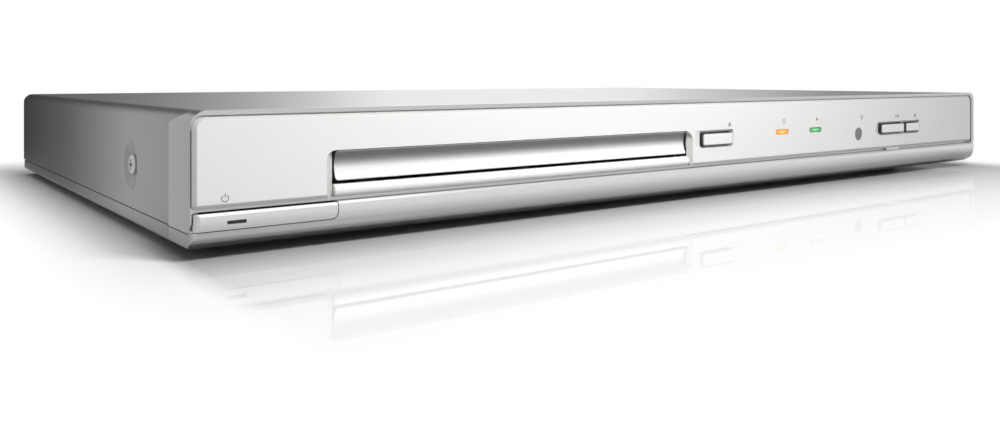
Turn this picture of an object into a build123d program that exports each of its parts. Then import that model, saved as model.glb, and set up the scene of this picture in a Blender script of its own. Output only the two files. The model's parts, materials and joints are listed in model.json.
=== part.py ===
from build123d import *
import os
from math import acos, atan2, cos, hypot, pi, radians, sin, sqrt, tan

# A full-width disc player with a front-loading disc tray, in millimetres.
# Every piece is drawn from three base planes: x from the left side, y from the front plane of the
# white fascia plate towards the rear, z from the underside of the case. The last step moves it all
# so that the origin is below the middle of the whole player, at the foot of its four feet.

# ---- Driving dimensions -------------------------------------------------------------------------
width = 435.0                # across the case
depth = 272.0                # fascia plate front to rear of the case
height = 38.1                # underside of the case to the top of the cover
foot_height = 2.9
foot_radius = 11.0
foot_inset_x = 46.0
foot_inset_y = 34.0

cover_sheet = 0.8
chassis_sheet = 1.0
cover_round = 4.0            # long top edges of the cover
cover_bottom = 4.9           # lower edge of the cover's sides
chassis_lip = 4.6            # height of the chassis lip below it
chassis_step = 2.5           # how far the chassis wall stands in behind the cover
chassis_wall_top = 30.0
seam = 0.25                  # visible seam between two shells
fit_gap = 0.1                # between pieces that sit against each other
play = 0.35                  # clearance around pieces that slide past each other
pin_play = 0.05              # radial clearance of a pin that turns in its hole

plate_thick = 1.9
plate_rim = 0.9              # thin outer rim of the plate, which leaves a dark groove behind it
plate_left = 0.15
plate_side_margin = 2.8      # border of the frame that shows right of the plate
plate_top_margin = 1.4       # and above it
plate_gap = 0.9              # dark gap between the chin and the plate
plate_round = 3.6
plate_bevel = 1.2            # width of the bevel along the plate's edge
plate_bevel_depth = 0.6
bottom_round = 1.0           # lower long edges of the case
frame_wall = 2.4             # moulded wall behind the plate
frame_side = 2.2             # thickness of the frame's cheeks
cheek_depth = 21.35          # the cheeks reach this far back along the sides
cheek_bottom = 4.6
cover_front = 3.5            # front edge of the cover on top
cheek_front = 1.5            # front edge of the cheek beside the plate
corner_run = 5.5             # where the curved front corner of the cover meets its front edge
tongue = 7.0                 # lip of the frame under the cover's front edge

chin_radius = 8.95
chin_centre_y = 8.0
chin_centre_z = 8.5
chin_top = 10.3
chin_wall = 2.2
chin_bevel = 1.9             # width of the bevel at both ends of the chin
chin_bevel_back = 2.45
chin_foot = 1.9              # thickness of the chin's foot under the front of the case
floor_front = 10.0           # the chassis floor reaches this far forward over that foot

window_gap_left = 3.8        # tray window beside the door, at the front face of the plate
window_gap_right = 2.2
window_bevel_left = 2.5
window_bevel_right = 1.8

door_past_left = 2.9         # how far the door reaches past the tray
door_past_right = 3.5
door_front = 1.9
door_thick = 2.5
door_scoop = 1.3

sill_top = 15.1
door_gap = 1.1               # between the sill and the door
door_rise = 0.5              # how far the door's top stands above the tray

button_travel = 0.5
standby_right = 42.5
standby_bottom = 5.3
standby_switch_x = 21.0
eject_gap = 5.3              # between the tray window and the open/close key
eject_width = 19.0
eject_bottom = 18.9
eject_top = 24.0
play_left = 338.5
play_right = 359.9
play_bottom = 18.9
play_top = 23.5
key_gap = 1.6                # between the play key and the stop key
stop_width = 13.0
button_proud = 0.9
button_flange = 1.2
key_recess = 0.55            # depth of the dished recess round the keys
eject_dish = 3.5             # how far the recess slopes down to a key from the left
play_dish = 3.2

lens_size = (9.2, 2.1)       # both indicator lenses
on_lens_x = 258.7
play_lens_x = 283.7
lens_z = 22.75
ir_x = 319.2
ir_z = 19.4
ir_radius = 3.0

tray_middle = 120.0          # x of the disc's centre
disc_y = 75.0                # y of the disc's centre
disc_radius = 60.0
disc_margin = 1.2            # how much wider than a disc the round recess is
small_disc_radius = 40.0
tray_width = 148.0
tray_back = 165.0
tray_top = 24.6
tray_floor = 20.6            # upper face of the floor of the disc recess
tray_floor_thick = 1.6
tray_over_sill = 0.8         # the tray's rails and rack pass this far above the sill
tray_rail = 2.0
tray_travel = 137.0
slot_width = 66.0            # slot in the tray for the turntable and the pickup

loader_wall = 2.2
loader_front = 7.0
loader_back = 190.0
loader_base_z = 7.0
loader_base_thick = 1.8
loader_over_tray = 2.2       # the loader's walls stand this far above the tray
bridge_length = 36.0
bridge_thick = 1.6

gear_module = 1.0
tooth_addendum = 0.8
tooth_dedendum = 1.05
backlash = 0.16
drive_pinion_teeth = 20
drive_wheel_teeth = 36
pulley_pinion_teeth = 14
feed_pinion_teeth = 14
feed_wheel_teeth = 20
gear_post_radius = 1.5

pulley_groove = 11.0
motor_groove = 3.0
belt_thick = 1.1
belt_height = 1.4
motor_radius = 12.0
motor_bottom = 3.5

deck_z = 10.5                # lower face of the deck
deck_sheet = 1.4
deck_left = 80.0
deck_right = 170.0
deck_front = 48.0
hinge_y = 172.0
hinge_z = 11.2
hinge_pin_radius = 2.0
deck_tilt = 3.0              # degrees that the deck drops by at its hinge
cam_travel = 14.0
cam_sheet = 1.5

rod_radius = 1.5
rod_spread = 37.0
rod_z = 14.2
sled_inner = 23.0            # lens to disc centre, innermost
sled_length = 26.0
sled_travel = 35.0

board_thick = 1.6
board_z = 6.5                # underside of the boards in the case
jack_radius = 4.15
jack_proud = 8.0
jack_body = 20.0             # depth of the socket blocks behind the rear panel
jack_pin_depth = 8.0
inlet_body = 18.0
inlet_x = 52.0
board_rear_gap = 8.1         # between the boards and the rear panel
main_board_length = 134.0
main_board_gap = 17.45       # between the loader and the main board
main_board_margin = 15.0     # between the main board and the right side
power_board_left = 26.0
power_board_gap = 22.0       # between the two boards
power_board_front_gap = 8.0  # between the loader and the power board
screw_inset = 6.0

# ---- Places that follow from them ---------------------------------------------------------------
plate_right = width - plate_side_margin
plate_bottom = chin_top + plate_gap
plate_top = height - plate_top_margin
standby_top = chin_top - 0.2
sill_bottom = plate_bottom + 0.2
tray_bottom = sill_top + tray_over_sill
door_bottom = sill_top + door_gap
door_top = tray_top + door_rise
window_top = door_top + play
door_left = tray_middle - tray_width / 2 - door_past_left
door_right = tray_middle + tray_width / 2 + door_past_right
window_left = door_left - window_gap_left
window_right = door_right + window_gap_right
eject_left = window_right + eject_gap
eject_right = eject_left + eject_width
stop_left = play_right + key_gap
stop_right = stop_left + stop_width
loader_top = tray_top + loader_over_tray
bridge_y = disc_y
wall_back = plate_thick + frame_wall
rear_outer = depth - cover_sheet - fit_gap
rear_inner = rear_outer - chassis_sheet
cover_under = height - cover_sheet
tray_left = tray_middle - tray_width / 2
tray_right = tray_middle + tray_width / 2
tray_under = tray_floor - tray_floor_thick
loader_left = tray_left - play - loader_wall
loader_right = tray_right + play + loader_wall
base_top = loader_base_z + loader_base_thick
door_back = door_front + door_thick
deck_top = deck_z + deck_sheet
sled_y = disc_y + sled_inner
board_back = rear_inner - board_rear_gap
main_board_left = loader_right + main_board_gap
main_board_front = board_back - main_board_length
# Boards as left, right, front, back.
main_board_box = (main_board_left, width - main_board_margin, main_board_front, board_back)
power_board_box = (power_board_left, main_board_left - power_board_gap,
                   loader_back + power_board_front_gap, board_back)


def corner_screws(box, back_inset):
    """Places of the four screws of a board, in x and y."""
    x0, x1, y0, y1 = box
    return [(x, y) for x in (x0 + screw_inset, x1 - screw_inset)
            for y in (y0 + screw_inset, y1 - back_inset)]


def on_board(box, across, back):
    """A place on a board, as shares of its width and of its length."""
    x0, x1, y0, y1 = box
    return x0 + (x1 - x0) * across, y0 + (y1 - y0) * back


# ---- Drawing helpers ----------------------------------------------------------------------------
def block(x0, x1, y0, y1, z0, z1):
    """A box between two corners."""
    return Pos((x0 + x1) / 2, (y0 + y1) / 2, (z0 + z1) / 2) * Box(x1 - x0, y1 - y0, z1 - z0)


def rod_up(x, y, radius, z0, z1):
    """A round bar along z."""
    return Pos(x, y, (z0 + z1) / 2) * Cylinder(radius, z1 - z0)


def rod_back(x, z, radius, y0, y1):
    """A round bar along y."""
    return Pos(x, (y0 + y1) / 2, z) * Rot(90, 0, 0) * Cylinder(radius, y1 - y0)


def rod_across(y, z, radius, x0, x1):
    """A round bar along x."""
    return Pos((x0 + x1) / 2, y, z) * Rot(0, 90, 0) * Cylinder(radius, x1 - x0)


def from_above(edges, z0, z1):
    """Extrude an outline drawn in x and y."""
    return extrude(Plane.XY.offset(z0) * make_face(edges), amount=z1 - z0)


def from_front(edges, y0, y1):
    """Extrude an outline drawn in x and z, from y0 back to y1."""
    front = Plane(origin=(0, y1, 0), x_dir=(1, 0, 0), z_dir=(0, -1, 0))
    return extrude(front * make_face(edges), amount=y1 - y0)


def from_side(edges, x0, x1):
    """Extrude an outline drawn in y and z."""
    side = Plane(origin=(x0, 0, 0), x_dir=(0, 1, 0), z_dir=(1, 0, 0))
    return extrude(side * make_face(edges), amount=x1 - x0)


def loop(points):
    """A closed outline with straight sides."""
    return Polyline(*points, close=True).edges()


def rounded(a0, a1, b0, b1, low_left=0.0, low_right=0.0, top_right=0.0, top_left=0.0):
    """A rectangle whose four corners each have their own radius."""
    corners = [
        ((a0, b0), (0, 1), (1, 0), low_left),
        ((a1, b0), (-1, 0), (0, 1), low_right),
        ((a1, b1), (0, -1), (-1, 0), top_right),
        ((a0, b1), (1, 0), (0, -1), top_left),
    ]
    edges = []
    stops = []
    for (a, b), (ia, ib), (oa, ob), radius in corners:
        start = (a + ia * radius, b + ib * radius)
        end = (a + oa * radius, b + ob * radius)
        if radius > 0:
            pull = radius * (1 - sqrt(0.5))
            middle = (a + (ia + oa) * pull, b + (ib + ob) * pull)
            edges.append(ThreePointArc(start, middle, end).edge())
        stops.append((start, end))
    for index, (_, end) in enumerate(stops):
        next_start = stops[(index + 1) % 4][0]
        edges.append(Line(end, next_start).edge())
    return edges


def pill(x, z, size, grow, y0, y1):
    """A slot-shaped bar along y, as of an indicator lens."""
    half_x = size[0] / 2 + grow
    half_z = size[1] / 2 + grow
    radius = half_z - 0.001
    outline = rounded(x - half_x, x + half_x, z - half_z, z + half_z, radius, radius, radius, radius)
    return from_front(outline, y0, y1)


def bevelled_cut(x0, x1, z0, z1, radius, left, right, y0, y1):
    """A cut whose left and right sides slope inwards from the front face at y0."""
    slope = loop([(x0 - left, y0 - 1), (x0, y0), (x0 + left, y1), (x0 + left, y1 + 1),
                  (x1 - right, y1 + 1), (x1 - right, y1), (x1, y0), (x1 + right, y0 - 1)])
    outline = from_front(rounded(x0, x1, z0, z1, *radius), y0 - 0.5, y1 + 0.5)
    return from_above(slope, z0 - 1, z1 + 1) & outline


# ---- Gears --------------------------------------------------------------------------------------
def gear(teeth, x, y, z0, z1, phase):
    """A spur gear with involute flanks; at angle phase (degrees) lies the middle of a tooth."""
    pitch = gear_module * teeth / 2
    base = pitch * cos(radians(20))
    tip = pitch + tooth_addendum * gear_module
    root = pitch - tooth_dedendum * gear_module
    roll = tan(radians(20)) - radians(20)
    half = pi / (2 * teeth) - backlash / (4 * pitch)
    flank = []
    steps = 6
    low = max(base, root)
    for step in range(steps + 1):
        radius = low + (tip - low) * step / steps
        pressure = acos(min(1.0, base / radius))
        flank.append((radius, half + roll - (tan(pressure) - pressure)))
    if root < base:
        flank.insert(0, (root, flank[0][1]))
    points = []
    for tooth in range(teeth):
        middle = radians(phase) + 2 * pi * tooth / teeth
        for radius, angle in flank:
            points.append((x + radius * cos(middle - angle), y + radius * sin(middle - angle)))
        for radius, angle in reversed(flank):
            points.append((x + radius * cos(middle + angle), y + radius * sin(middle + angle)))
    return from_above(loop(points), z0, z1)


def rack(x_pitch, x_back, y0, y1, y_gap, z0, z1):
    """A rack along y with teeth facing +x; one tooth gap is centred at y_gap."""
    pitch = pi * gear_module
    tip = x_pitch + tooth_addendum * gear_module
    root = x_pitch - tooth_dedendum * gear_module
    half = pitch / 4 - backlash / 4
    slope = tan(radians(20))
    half_tip = half - tooth_addendum * gear_module * slope
    half_root = half + tooth_dedendum * gear_module * slope
    points = [(x_back, y0), (root, y0)]
    middle = y_gap + pitch / 2
    while middle - half_root > y0 + pitch:
        middle -= pitch
    while middle - half_root < y0:
        middle += pitch
    while middle + half_root < y1:
        points += [(root, middle - half_root), (tip, middle - half_tip),
                   (tip, middle + half_tip), (root, middle + half_root)]
        middle += pitch
    points += [(root, y1), (x_back, y1)]
    return from_above(loop(points), z0, z1)


# ---- Case ---------------------------------------------------------------------------------------
def case_outline(inset, z_low):
    """Cross-section of the case with its rounded top edges."""
    radius = cover_round - inset
    return rounded(inset, width - inset, z_low, height - inset, 0, 0, radius, radius)


def front_corners(grow):
    """The two corner regions, seen from above, where the front frame wraps round the sides."""
    back = cheek_depth + grow
    reach = corner_run + grow
    edge = cover_front + grow
    regions = None
    for mirror in (False, True):
        def at(x, y):
            return (width - x, y) if mirror else (x, y)
        # A quarter of an ellipse runs along the side first and then along the front edge.
        start = 270 if mirror else 180
        edges = [
            EllipticalCenterArc(at(reach, back), reach, back - edge, start, arc_size=90).edge(),
            Line(at(reach, edge), at(reach, -5)).edge(),
            Line(at(reach, -5), at(-5, -5)).edge(),
            Line(at(-5, -5), at(-5, back)).edge(),
            Line(at(-5, back), at(0, back)).edge(),
        ]
        region = from_above(edges, -1, height + 1)
        regions = region if regions is None else regions + region
    return regions


side_screw_y = 62.7
side_screw_z = 18.7
dimple_radius = 8.0
dimple_floor = 5.0
dimple_depth = 1.6
screw_hole = 1.6
rear_screw_x = [30.0, width / 2, width - 30.0]
rear_screw_z = height - 5.0
rear_flange = 9.4


def dimple(grow, mirror):
    """The dished seat of a side screw, as a cone let into the cover's side."""
    cone = Cone(dimple_radius + grow, dimple_floor + grow, dimple_depth)
    if mirror:
        return Pos(width - dimple_depth / 2 - grow, side_screw_y, side_screw_z) * Rot(0, -90, 0) * cone
    return Pos(dimple_depth / 2 + grow, side_screw_y, side_screw_z) * Rot(0, 90, 0) * cone


def top_cover():
    start = cover_front
    body = from_front(case_outline(0, cover_bottom), start, depth)
    body -= from_front(case_outline(cover_sheet, cover_bottom - 1), start - 1, depth - cover_sheet)
    flange_low = height - rear_flange
    body -= block(cover_sheet, width - cover_sheet, depth - 2 * cover_sheet, depth + 1,
                  cover_bottom - 1, flange_low)
    body -= front_corners(0)
    for mirror in (False, True):
        body += dimple(cover_sheet, mirror) & block(0, width, 0, depth, 0, height)
        body -= dimple(0, mirror)
    for x in rear_screw_x:
        body -= rod_back(x, rear_screw_z, screw_hole, depth - 2, depth + 1)
    body -= rod_across(side_screw_y, side_screw_z, screw_hole, -1, width + 1)
    return body


def stand(x, y, z1):
    """A boss pressed up from the chassis floor, with a screw hole."""
    return rod_up(x, y, 3.0, 0.5, z1)


board_screws_at = corner_screws(main_board_box, 8.0) + corner_screws(power_board_box, 6.0)
loader_legs_at = [(x, y) for x in (loader_left + 12.0, loader_right - 12.0)
                  for y in (52.0, loader_back - 7.0)]

# Ventilation slots below the main board.
vent_left = main_board_left + 36.0
vent_right = width - 47.0
vent_front = main_board_front + 22.0
vent_columns = 9
vent_bridge = 6.0            # metal between two slots of a row
vent_pitch = (vent_right - vent_left + vent_bridge) / vent_columns


def bottom_chassis():
    front = cheek_depth + seam
    over_chin = chin_foot + fit_gap
    body = block(chassis_step, width - chassis_step, front, rear_inner - fit_gap, 0, chassis_sheet)
    body += block(chassis_step, width - chassis_step, front, front + chassis_sheet, 0,
                  over_chin + chassis_sheet)
    body += block(chassis_step, width - chassis_step, floor_front, front + chassis_sheet, over_chin,
                  over_chin + chassis_sheet)
    for mirror in (False, True):
        def strip(x0, x1, y0, y1, z0, z1):
            if mirror:
                return block(width - x1, width - x0, y0, y1, z0, z1)
            return block(x0, x1, y0, y1, z0, z1)
        back = rear_inner - fit_gap
        body += strip(0, chassis_sheet, front, back, 0, chassis_lip)
        body += strip(0, chassis_step + 0.5, front, back, 0, chassis_sheet)
        wall = strip(chassis_step, chassis_step + chassis_sheet, cheek_depth + 6, back, 0,
                     chassis_wall_top)
        body += wall
    body = body & from_front(rounded(0, width, 0, chassis_wall_top, bottom_round, bottom_round, 0, 0),
                             0, depth)
    for x, y in board_screws_at:
        body += stand(x, y, board_z)
    for x, y in loader_legs_at:
        body += stand(x, y, 2.6)
    for x, y in board_screws_at + loader_legs_at:
        body -= rod_up(x, y, 1.1, -1, board_z + 1)
    body -= rod_across(side_screw_y, side_screw_z, screw_hole - 0.4, -1, width + 1)
    for row in range(6):
        for column in range(vent_columns):
            x = vent_left + column * vent_pitch
            y = vent_front + row * 14.0
            body -= block(x, x + vent_pitch - vent_bridge, y, y + 3, -1, chassis_sheet + 1)
    for x, y in feet_at:
        body -= rod_up(x, y, 1.6, -1, chassis_sheet + 1)
    return body


feet_at = [(x, y) for x in (foot_inset_x, width - foot_inset_x)
           for y in (foot_inset_y, depth - foot_inset_y)]


def feet():
    group = []
    for x, y in feet_at:
        pad = rod_up(x, y, foot_radius, -foot_height, 0)
        pad = chamfer(pad.edges().group_by(Axis.Z)[0], 0.8)
        pad -= rod_up(x, y, 3.2, -foot_height - 1, -foot_height + 1.4)
        pad += rod_up(x, y, 1.5, -foot_height + 1.2, chassis_sheet + 1.2)
        pad += rod_up(x, y, 2.2, chassis_sheet, chassis_sheet + 1.2)
        group.append(pad)
    return group


# Sockets on the rear, as seen from the front: they stand in one row of equal steps along the back
# edge of the main board, and where two kinds meet, the row skips part of a step.
collar = 0.6                 # how far a socket's collar stands out round its sleeve
low_row = 10.8
high_row = height - rear_flange - jack_radius - collar - 0.15
jack_row_left = main_board_left + 22.0
jack_row_right = width - 51.0
jack_steps = 9.25
jack_step = (jack_row_right - jack_row_left) / jack_steps


def along_row(steps):
    return jack_row_left + jack_step * steps


jack_rows = {
    "audio_jacks": ([along_row(0), along_row(1)], [low_row, high_row]),
    "video_jacks": ([along_row(2.625), along_row(3.625), along_row(4.625)], [low_row, high_row]),
}
digital_jack_x = along_row(6.25)
round_socket_x = along_row(7.75)
optical_x = along_row(jack_steps)


def rear_cuts(grow):
    """Everything that passes through the rear panel."""
    y0 = rear_inner - 1
    y1 = rear_outer + 1
    cuts = [block(inlet_x - 10.5 - grow, inlet_x + 10.5 + grow, y0, y1, 9.0 - grow, 21.0 + grow)]
    for columns, rows in jack_rows.values():
        for x in columns:
            for z in rows:
                cuts.append(rod_back(x, z, jack_radius + collar + grow, y0, y1))
    cuts.append(rod_back(digital_jack_x, low_row, jack_radius + collar + grow, y0, y1))
    cuts.append(rod_back(round_socket_x, 14.5, 7.5 + grow, y0, y1))
    cuts.append(block(optical_x - 5.2 - grow, optical_x + 5.2 + grow, y0, y1, 9.0 - grow, 18.4 + grow))
    return cuts


def rear_panel():
    edge = chassis_step + chassis_sheet + fit_gap
    body = block(edge, width - edge, rear_inner, rear_outer, chassis_sheet + fit_gap,
                 cover_under - fit_gap)
    body += block(edge, width - edge, rear_outer - 9, rear_outer, chassis_sheet + fit_gap,
                  2 * chassis_sheet + fit_gap)
    for cut in rear_cuts(play):
        body -= cut
    for column in range(12):
        x = power_board_left + 58.0 + column * 8.0
        body -= block(x, x + 3, rear_inner - 1, rear_outer + 1, 12, 28)
    for x in rear_screw_x:
        body -= rod_back(x, rear_screw_z, screw_hole - 0.4, rear_inner - 1, rear_outer + 1)
    return body


def screw(head_radius, head, shank_radius, length):
    """A pan-head screw that points down z, its head on top of z = 0, with a cross recess."""
    body = rod_up(0, 0, head_radius, 0, head)
    body = fillet(body.edges().group_by(Axis.Z)[-1], head * 0.45)
    for turn in (0, 90):
        body -= Rot(0, 0, turn) * block(-0.45, 0.45, -head_radius * 0.55, head_radius * 0.55,
                                        head * 0.45, head + 1)
    return body + rod_up(0, 0, shank_radius, -length, 0)


def cover_side_screws():
    left = Pos(dimple_depth, side_screw_y, side_screw_z) * Rot(0, -90, 0)
    right = Pos(width - dimple_depth, side_screw_y, side_screw_z) * Rot(0, 90, 0)
    return [place * screw(3.3, 1.5, screw_hole - 0.45, 4.0) for place in (left, right)]


def cover_rear_screws():
    return [Pos(x, depth, rear_screw_z) * Rot(-90, 0, 0) * screw(3.0, 1.4, screw_hole - 0.45, 4.5)
            for x in rear_screw_x]


# ---- Front --------------------------------------------------------------------------------------
def chin_front(z):
    """y of the chin's round front at height z."""
    return chin_centre_y - sqrt(chin_radius ** 2 - (z - chin_centre_z) ** 2)


def chin_outline(z_low, z_high, thick):
    """Side outline of the chin's shell between two heights, open at the back."""
    inner = chin_radius - thick
    top_round = 0.7

    def inner_y(z):
        return chin_centre_y - sqrt(inner ** 2 - (z - chin_centre_z) ** 2)

    crown = z_high - top_round
    middle = (z_low + crown) / 2
    top_in = min(z_high - thick, chin_centre_z + 1.0)
    inner_middle = (z_low + top_in) / 2
    return [
        ThreePointArc((chin_front(z_low), z_low), (chin_front(middle), middle),
                      (chin_front(crown), crown)).edge(),
        Line((chin_front(crown), crown), (chin_front(crown) + top_round, z_high)).edge(),
        Line((chin_front(crown) + top_round, z_high), (inner_y(top_in), z_high)).edge(),
        Line((inner_y(top_in), z_high), (inner_y(top_in), top_in)).edge(),
        ThreePointArc((inner_y(top_in), top_in), (inner_y(inner_middle), inner_middle),
                      (inner_y(z_low), z_low)).edge(),
        Line((inner_y(z_low), z_low), (chin_front(z_low), z_low)).edge(),
    ]


def end_bevels(body):
    """Cut the slanting ends of the chin at both sides of the case."""
    for mirror in (False, True):
        def at(x, y):
            return (width - x, y) if mirror else (x, y)
        run = chin_bevel
        back = chin_bevel_back
        wedge = loop([at(-1, -3), at(run, -3), at(run, chin_centre_y - chin_radius),
                      at(0, chin_centre_y - chin_radius + back), at(-1, chin_centre_y - chin_radius + back)])
        body -= from_above(wedge, -1, chin_top + 2)
    return body


def chin():
    """The silver lower moulding, from side to side, with the bar button's opening."""
    low = chin_foot
    shell = from_side(chin_outline(low, chin_top, chin_wall), 0, width)
    foot = from_side(loop([(chin_front(0), 0), (cheek_depth, 0), (cheek_depth, low), (chin_front(low), low)]),
                     0, width)
    body = shell + foot
    shelf = block(frame_side, width - frame_side, chin_centre_y - chin_radius + chin_wall - 0.5,
                  wall_back, chin_top - 1.9, chin_top)
    body += shelf
    for mirror in (False, True):
        x0, x1 = (width - frame_side, width) if mirror else (0, frame_side)
        front = chin_front(low)
        cap = from_side([
            Line((front, low), (cheek_depth, low)).edge(),
            Line((cheek_depth, low), (cheek_depth, cheek_bottom - seam)).edge(),
            Line((cheek_depth, cheek_bottom - seam), (cheek_front + 3.0, cheek_bottom - seam)).edge(),
            ThreePointArc((cheek_front + 3.0, cheek_bottom - seam),
                          (cheek_front + 0.9, cheek_bottom - seam + 0.9),
                          (cheek_front, cheek_bottom - seam + 3.0)).edge(),
            Line((cheek_front, cheek_bottom - seam + 3.0), (cheek_front, chin_top)).edge(),
            Line((cheek_front, chin_top), (chin_front(chin_top - 0.7) + 0.7, chin_top)).edge(),
            Line((chin_front(chin_top - 0.7) + 0.7, chin_top),
                 (chin_front(chin_top - 0.7), chin_top - 0.7)).edge(),
            ThreePointArc((chin_front(chin_top - 0.7), chin_top - 0.7),
                          (chin_front(5.0), 5.0), (front, low)).edge(),
        ], x0, x1)
        body += cap
    body = end_bevels(body)
    body = body & from_front(rounded(0, width, 0, chin_top, bottom_round, bottom_round, 0, 0),
                             -3, cheek_depth)
    opening = from_front(rounded(-1, standby_right + seam, standby_bottom - seam, chin_top + 1,
                                 0, 2.2, 0, 0), -3, chin_centre_y)
    keep = block(-2, width, cheek_front + 0.4, 30, 0, height)
    body -= opening - (keep & block(-2, frame_side, -5, 30, 0, height))
    return body


def standby_button():
    """The bar button cut out of the left end of the chin, with its two guide stems."""
    body = from_side(chin_outline(standby_bottom, standby_top, 1.7), 0.1, standby_right)
    limit = from_front(rounded(0.1, standby_right, standby_bottom, standby_top, 0, 2.0, 0, 0), -3, 12)
    body = end_bevels(body & limit)
    # Its left end stays clear of the cheek behind it when it is pressed.
    body -= block(-1, frame_side + 0.15, cheek_front - button_travel - 0.05, 12, 0, chin_top)
    for x in (8.0, 34.0):
        body += block(x - 2, x + 2, 0.3, 8.5, 7.4, 8.9)
    body += block(6.0, 36.0, 7.0, 8.5, 7.4, 8.9)
    body += block(19.5, 22.5, 8.0, 9.4, 7.4, 8.9)
    body -= block(9.3, 14.7, -3, -0.2, 6.85, 7.85)
    return body


def fascia_plate():
    """The glossy plate, with the tray window and the openings for buttons, lenses and sensor."""
    edge = 1.0
    low = plate_bevel + 0.2
    rim = from_front(rounded(plate_left, plate_right, plate_bottom, plate_top,
                             low, low, plate_round, plate_round), 0, plate_rim)
    face = rim.faces().sort_by(Axis.Y)[0]
    rim = chamfer(face.edges(), plate_bevel, plate_bevel_depth, reference=face)
    rim = fillet(rim.edges().group_by(Axis.Y)[0], plate_bevel)
    back = from_front(rounded(plate_left + edge, plate_right - edge, plate_bottom + edge,
                              plate_top - edge, 0.8, 0.8, plate_round - edge, plate_round - edge),
                      plate_rim, plate_thick)
    body = rim + back
    # The lug that shows in the gap below the play key.
    body += block(play_left + 7.0, play_left + 18.4, plate_bevel_depth, plate_rim, chin_top + 0.15,
                  plate_bottom + 0.2)
    body -= bevelled_cut(window_left, window_right, -5, window_top, (0, 0, 4.5, 2.8),
                         window_bevel_left, window_bevel_right, 0, plate_thick)
    body -= bevelled_cut(eject_left - eject_dish - 0.6, eject_right + 1.0, eject_bottom - 0.75,
                         eject_top + 1.2, (2.4, 1.2, 1.2, 2.4), eject_dish, 0.4, 0, key_recess)
    body -= bevelled_cut(play_left - play_dish - 1.1, stop_right + 1.6, play_bottom - 0.9,
                         play_top + 1.2, (2.6, 1.6, 1.6, 2.6), play_dish, 0.6, 0, key_recess)
    for left, right, low, high in key_holes():
        body -= from_front(rounded(left - play, right + play, low - play, high + play,
                                   1.4, 1.4, 1.4, 1.4), -1, plate_thick + 1)
    for x in (on_lens_x, play_lens_x):
        body -= pill(x, lens_z, lens_size, fit_gap, -1, plate_thick + 1)
    body -= rod_back(ir_x, ir_z, ir_radius + fit_gap, -1, plate_thick + 1)
    return body


stem_size = 3.0
switch_front = 8.6


def button(left, right, low, high):
    """A cushion-shaped key with a flange behind the frame and a stem towards its switch."""
    face = from_front(rounded(left, right, low, high, 1.2, 1.2, 1.2, 1.2), -button_proud, wall_back + 0.6)
    face = fillet(face.edges().group_by(Axis.Y)[0], 0.8)
    flange = block(left - 0.6, right + 0.6, wall_back + fit_gap, wall_back + fit_gap + button_flange,
                   low - 1.2, high + 1.2)
    middle_x = (left + right) / 2
    middle_z = (low + high) / 2
    half = stem_size / 2
    stem = block(middle_x - half, middle_x + half, wall_back + 0.5, switch_front - button_travel - 0.05,
                 middle_z - half, middle_z + half)
    return face + flange + stem


def key_holes():
    """Openings of the round-cornered keys, as left, right, low, high."""
    return [(eject_left, eject_right, eject_bottom, eject_top),
            (play_left, play_right, play_bottom, play_top),
            (stop_left, stop_right, play_bottom, play_top)]


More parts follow.
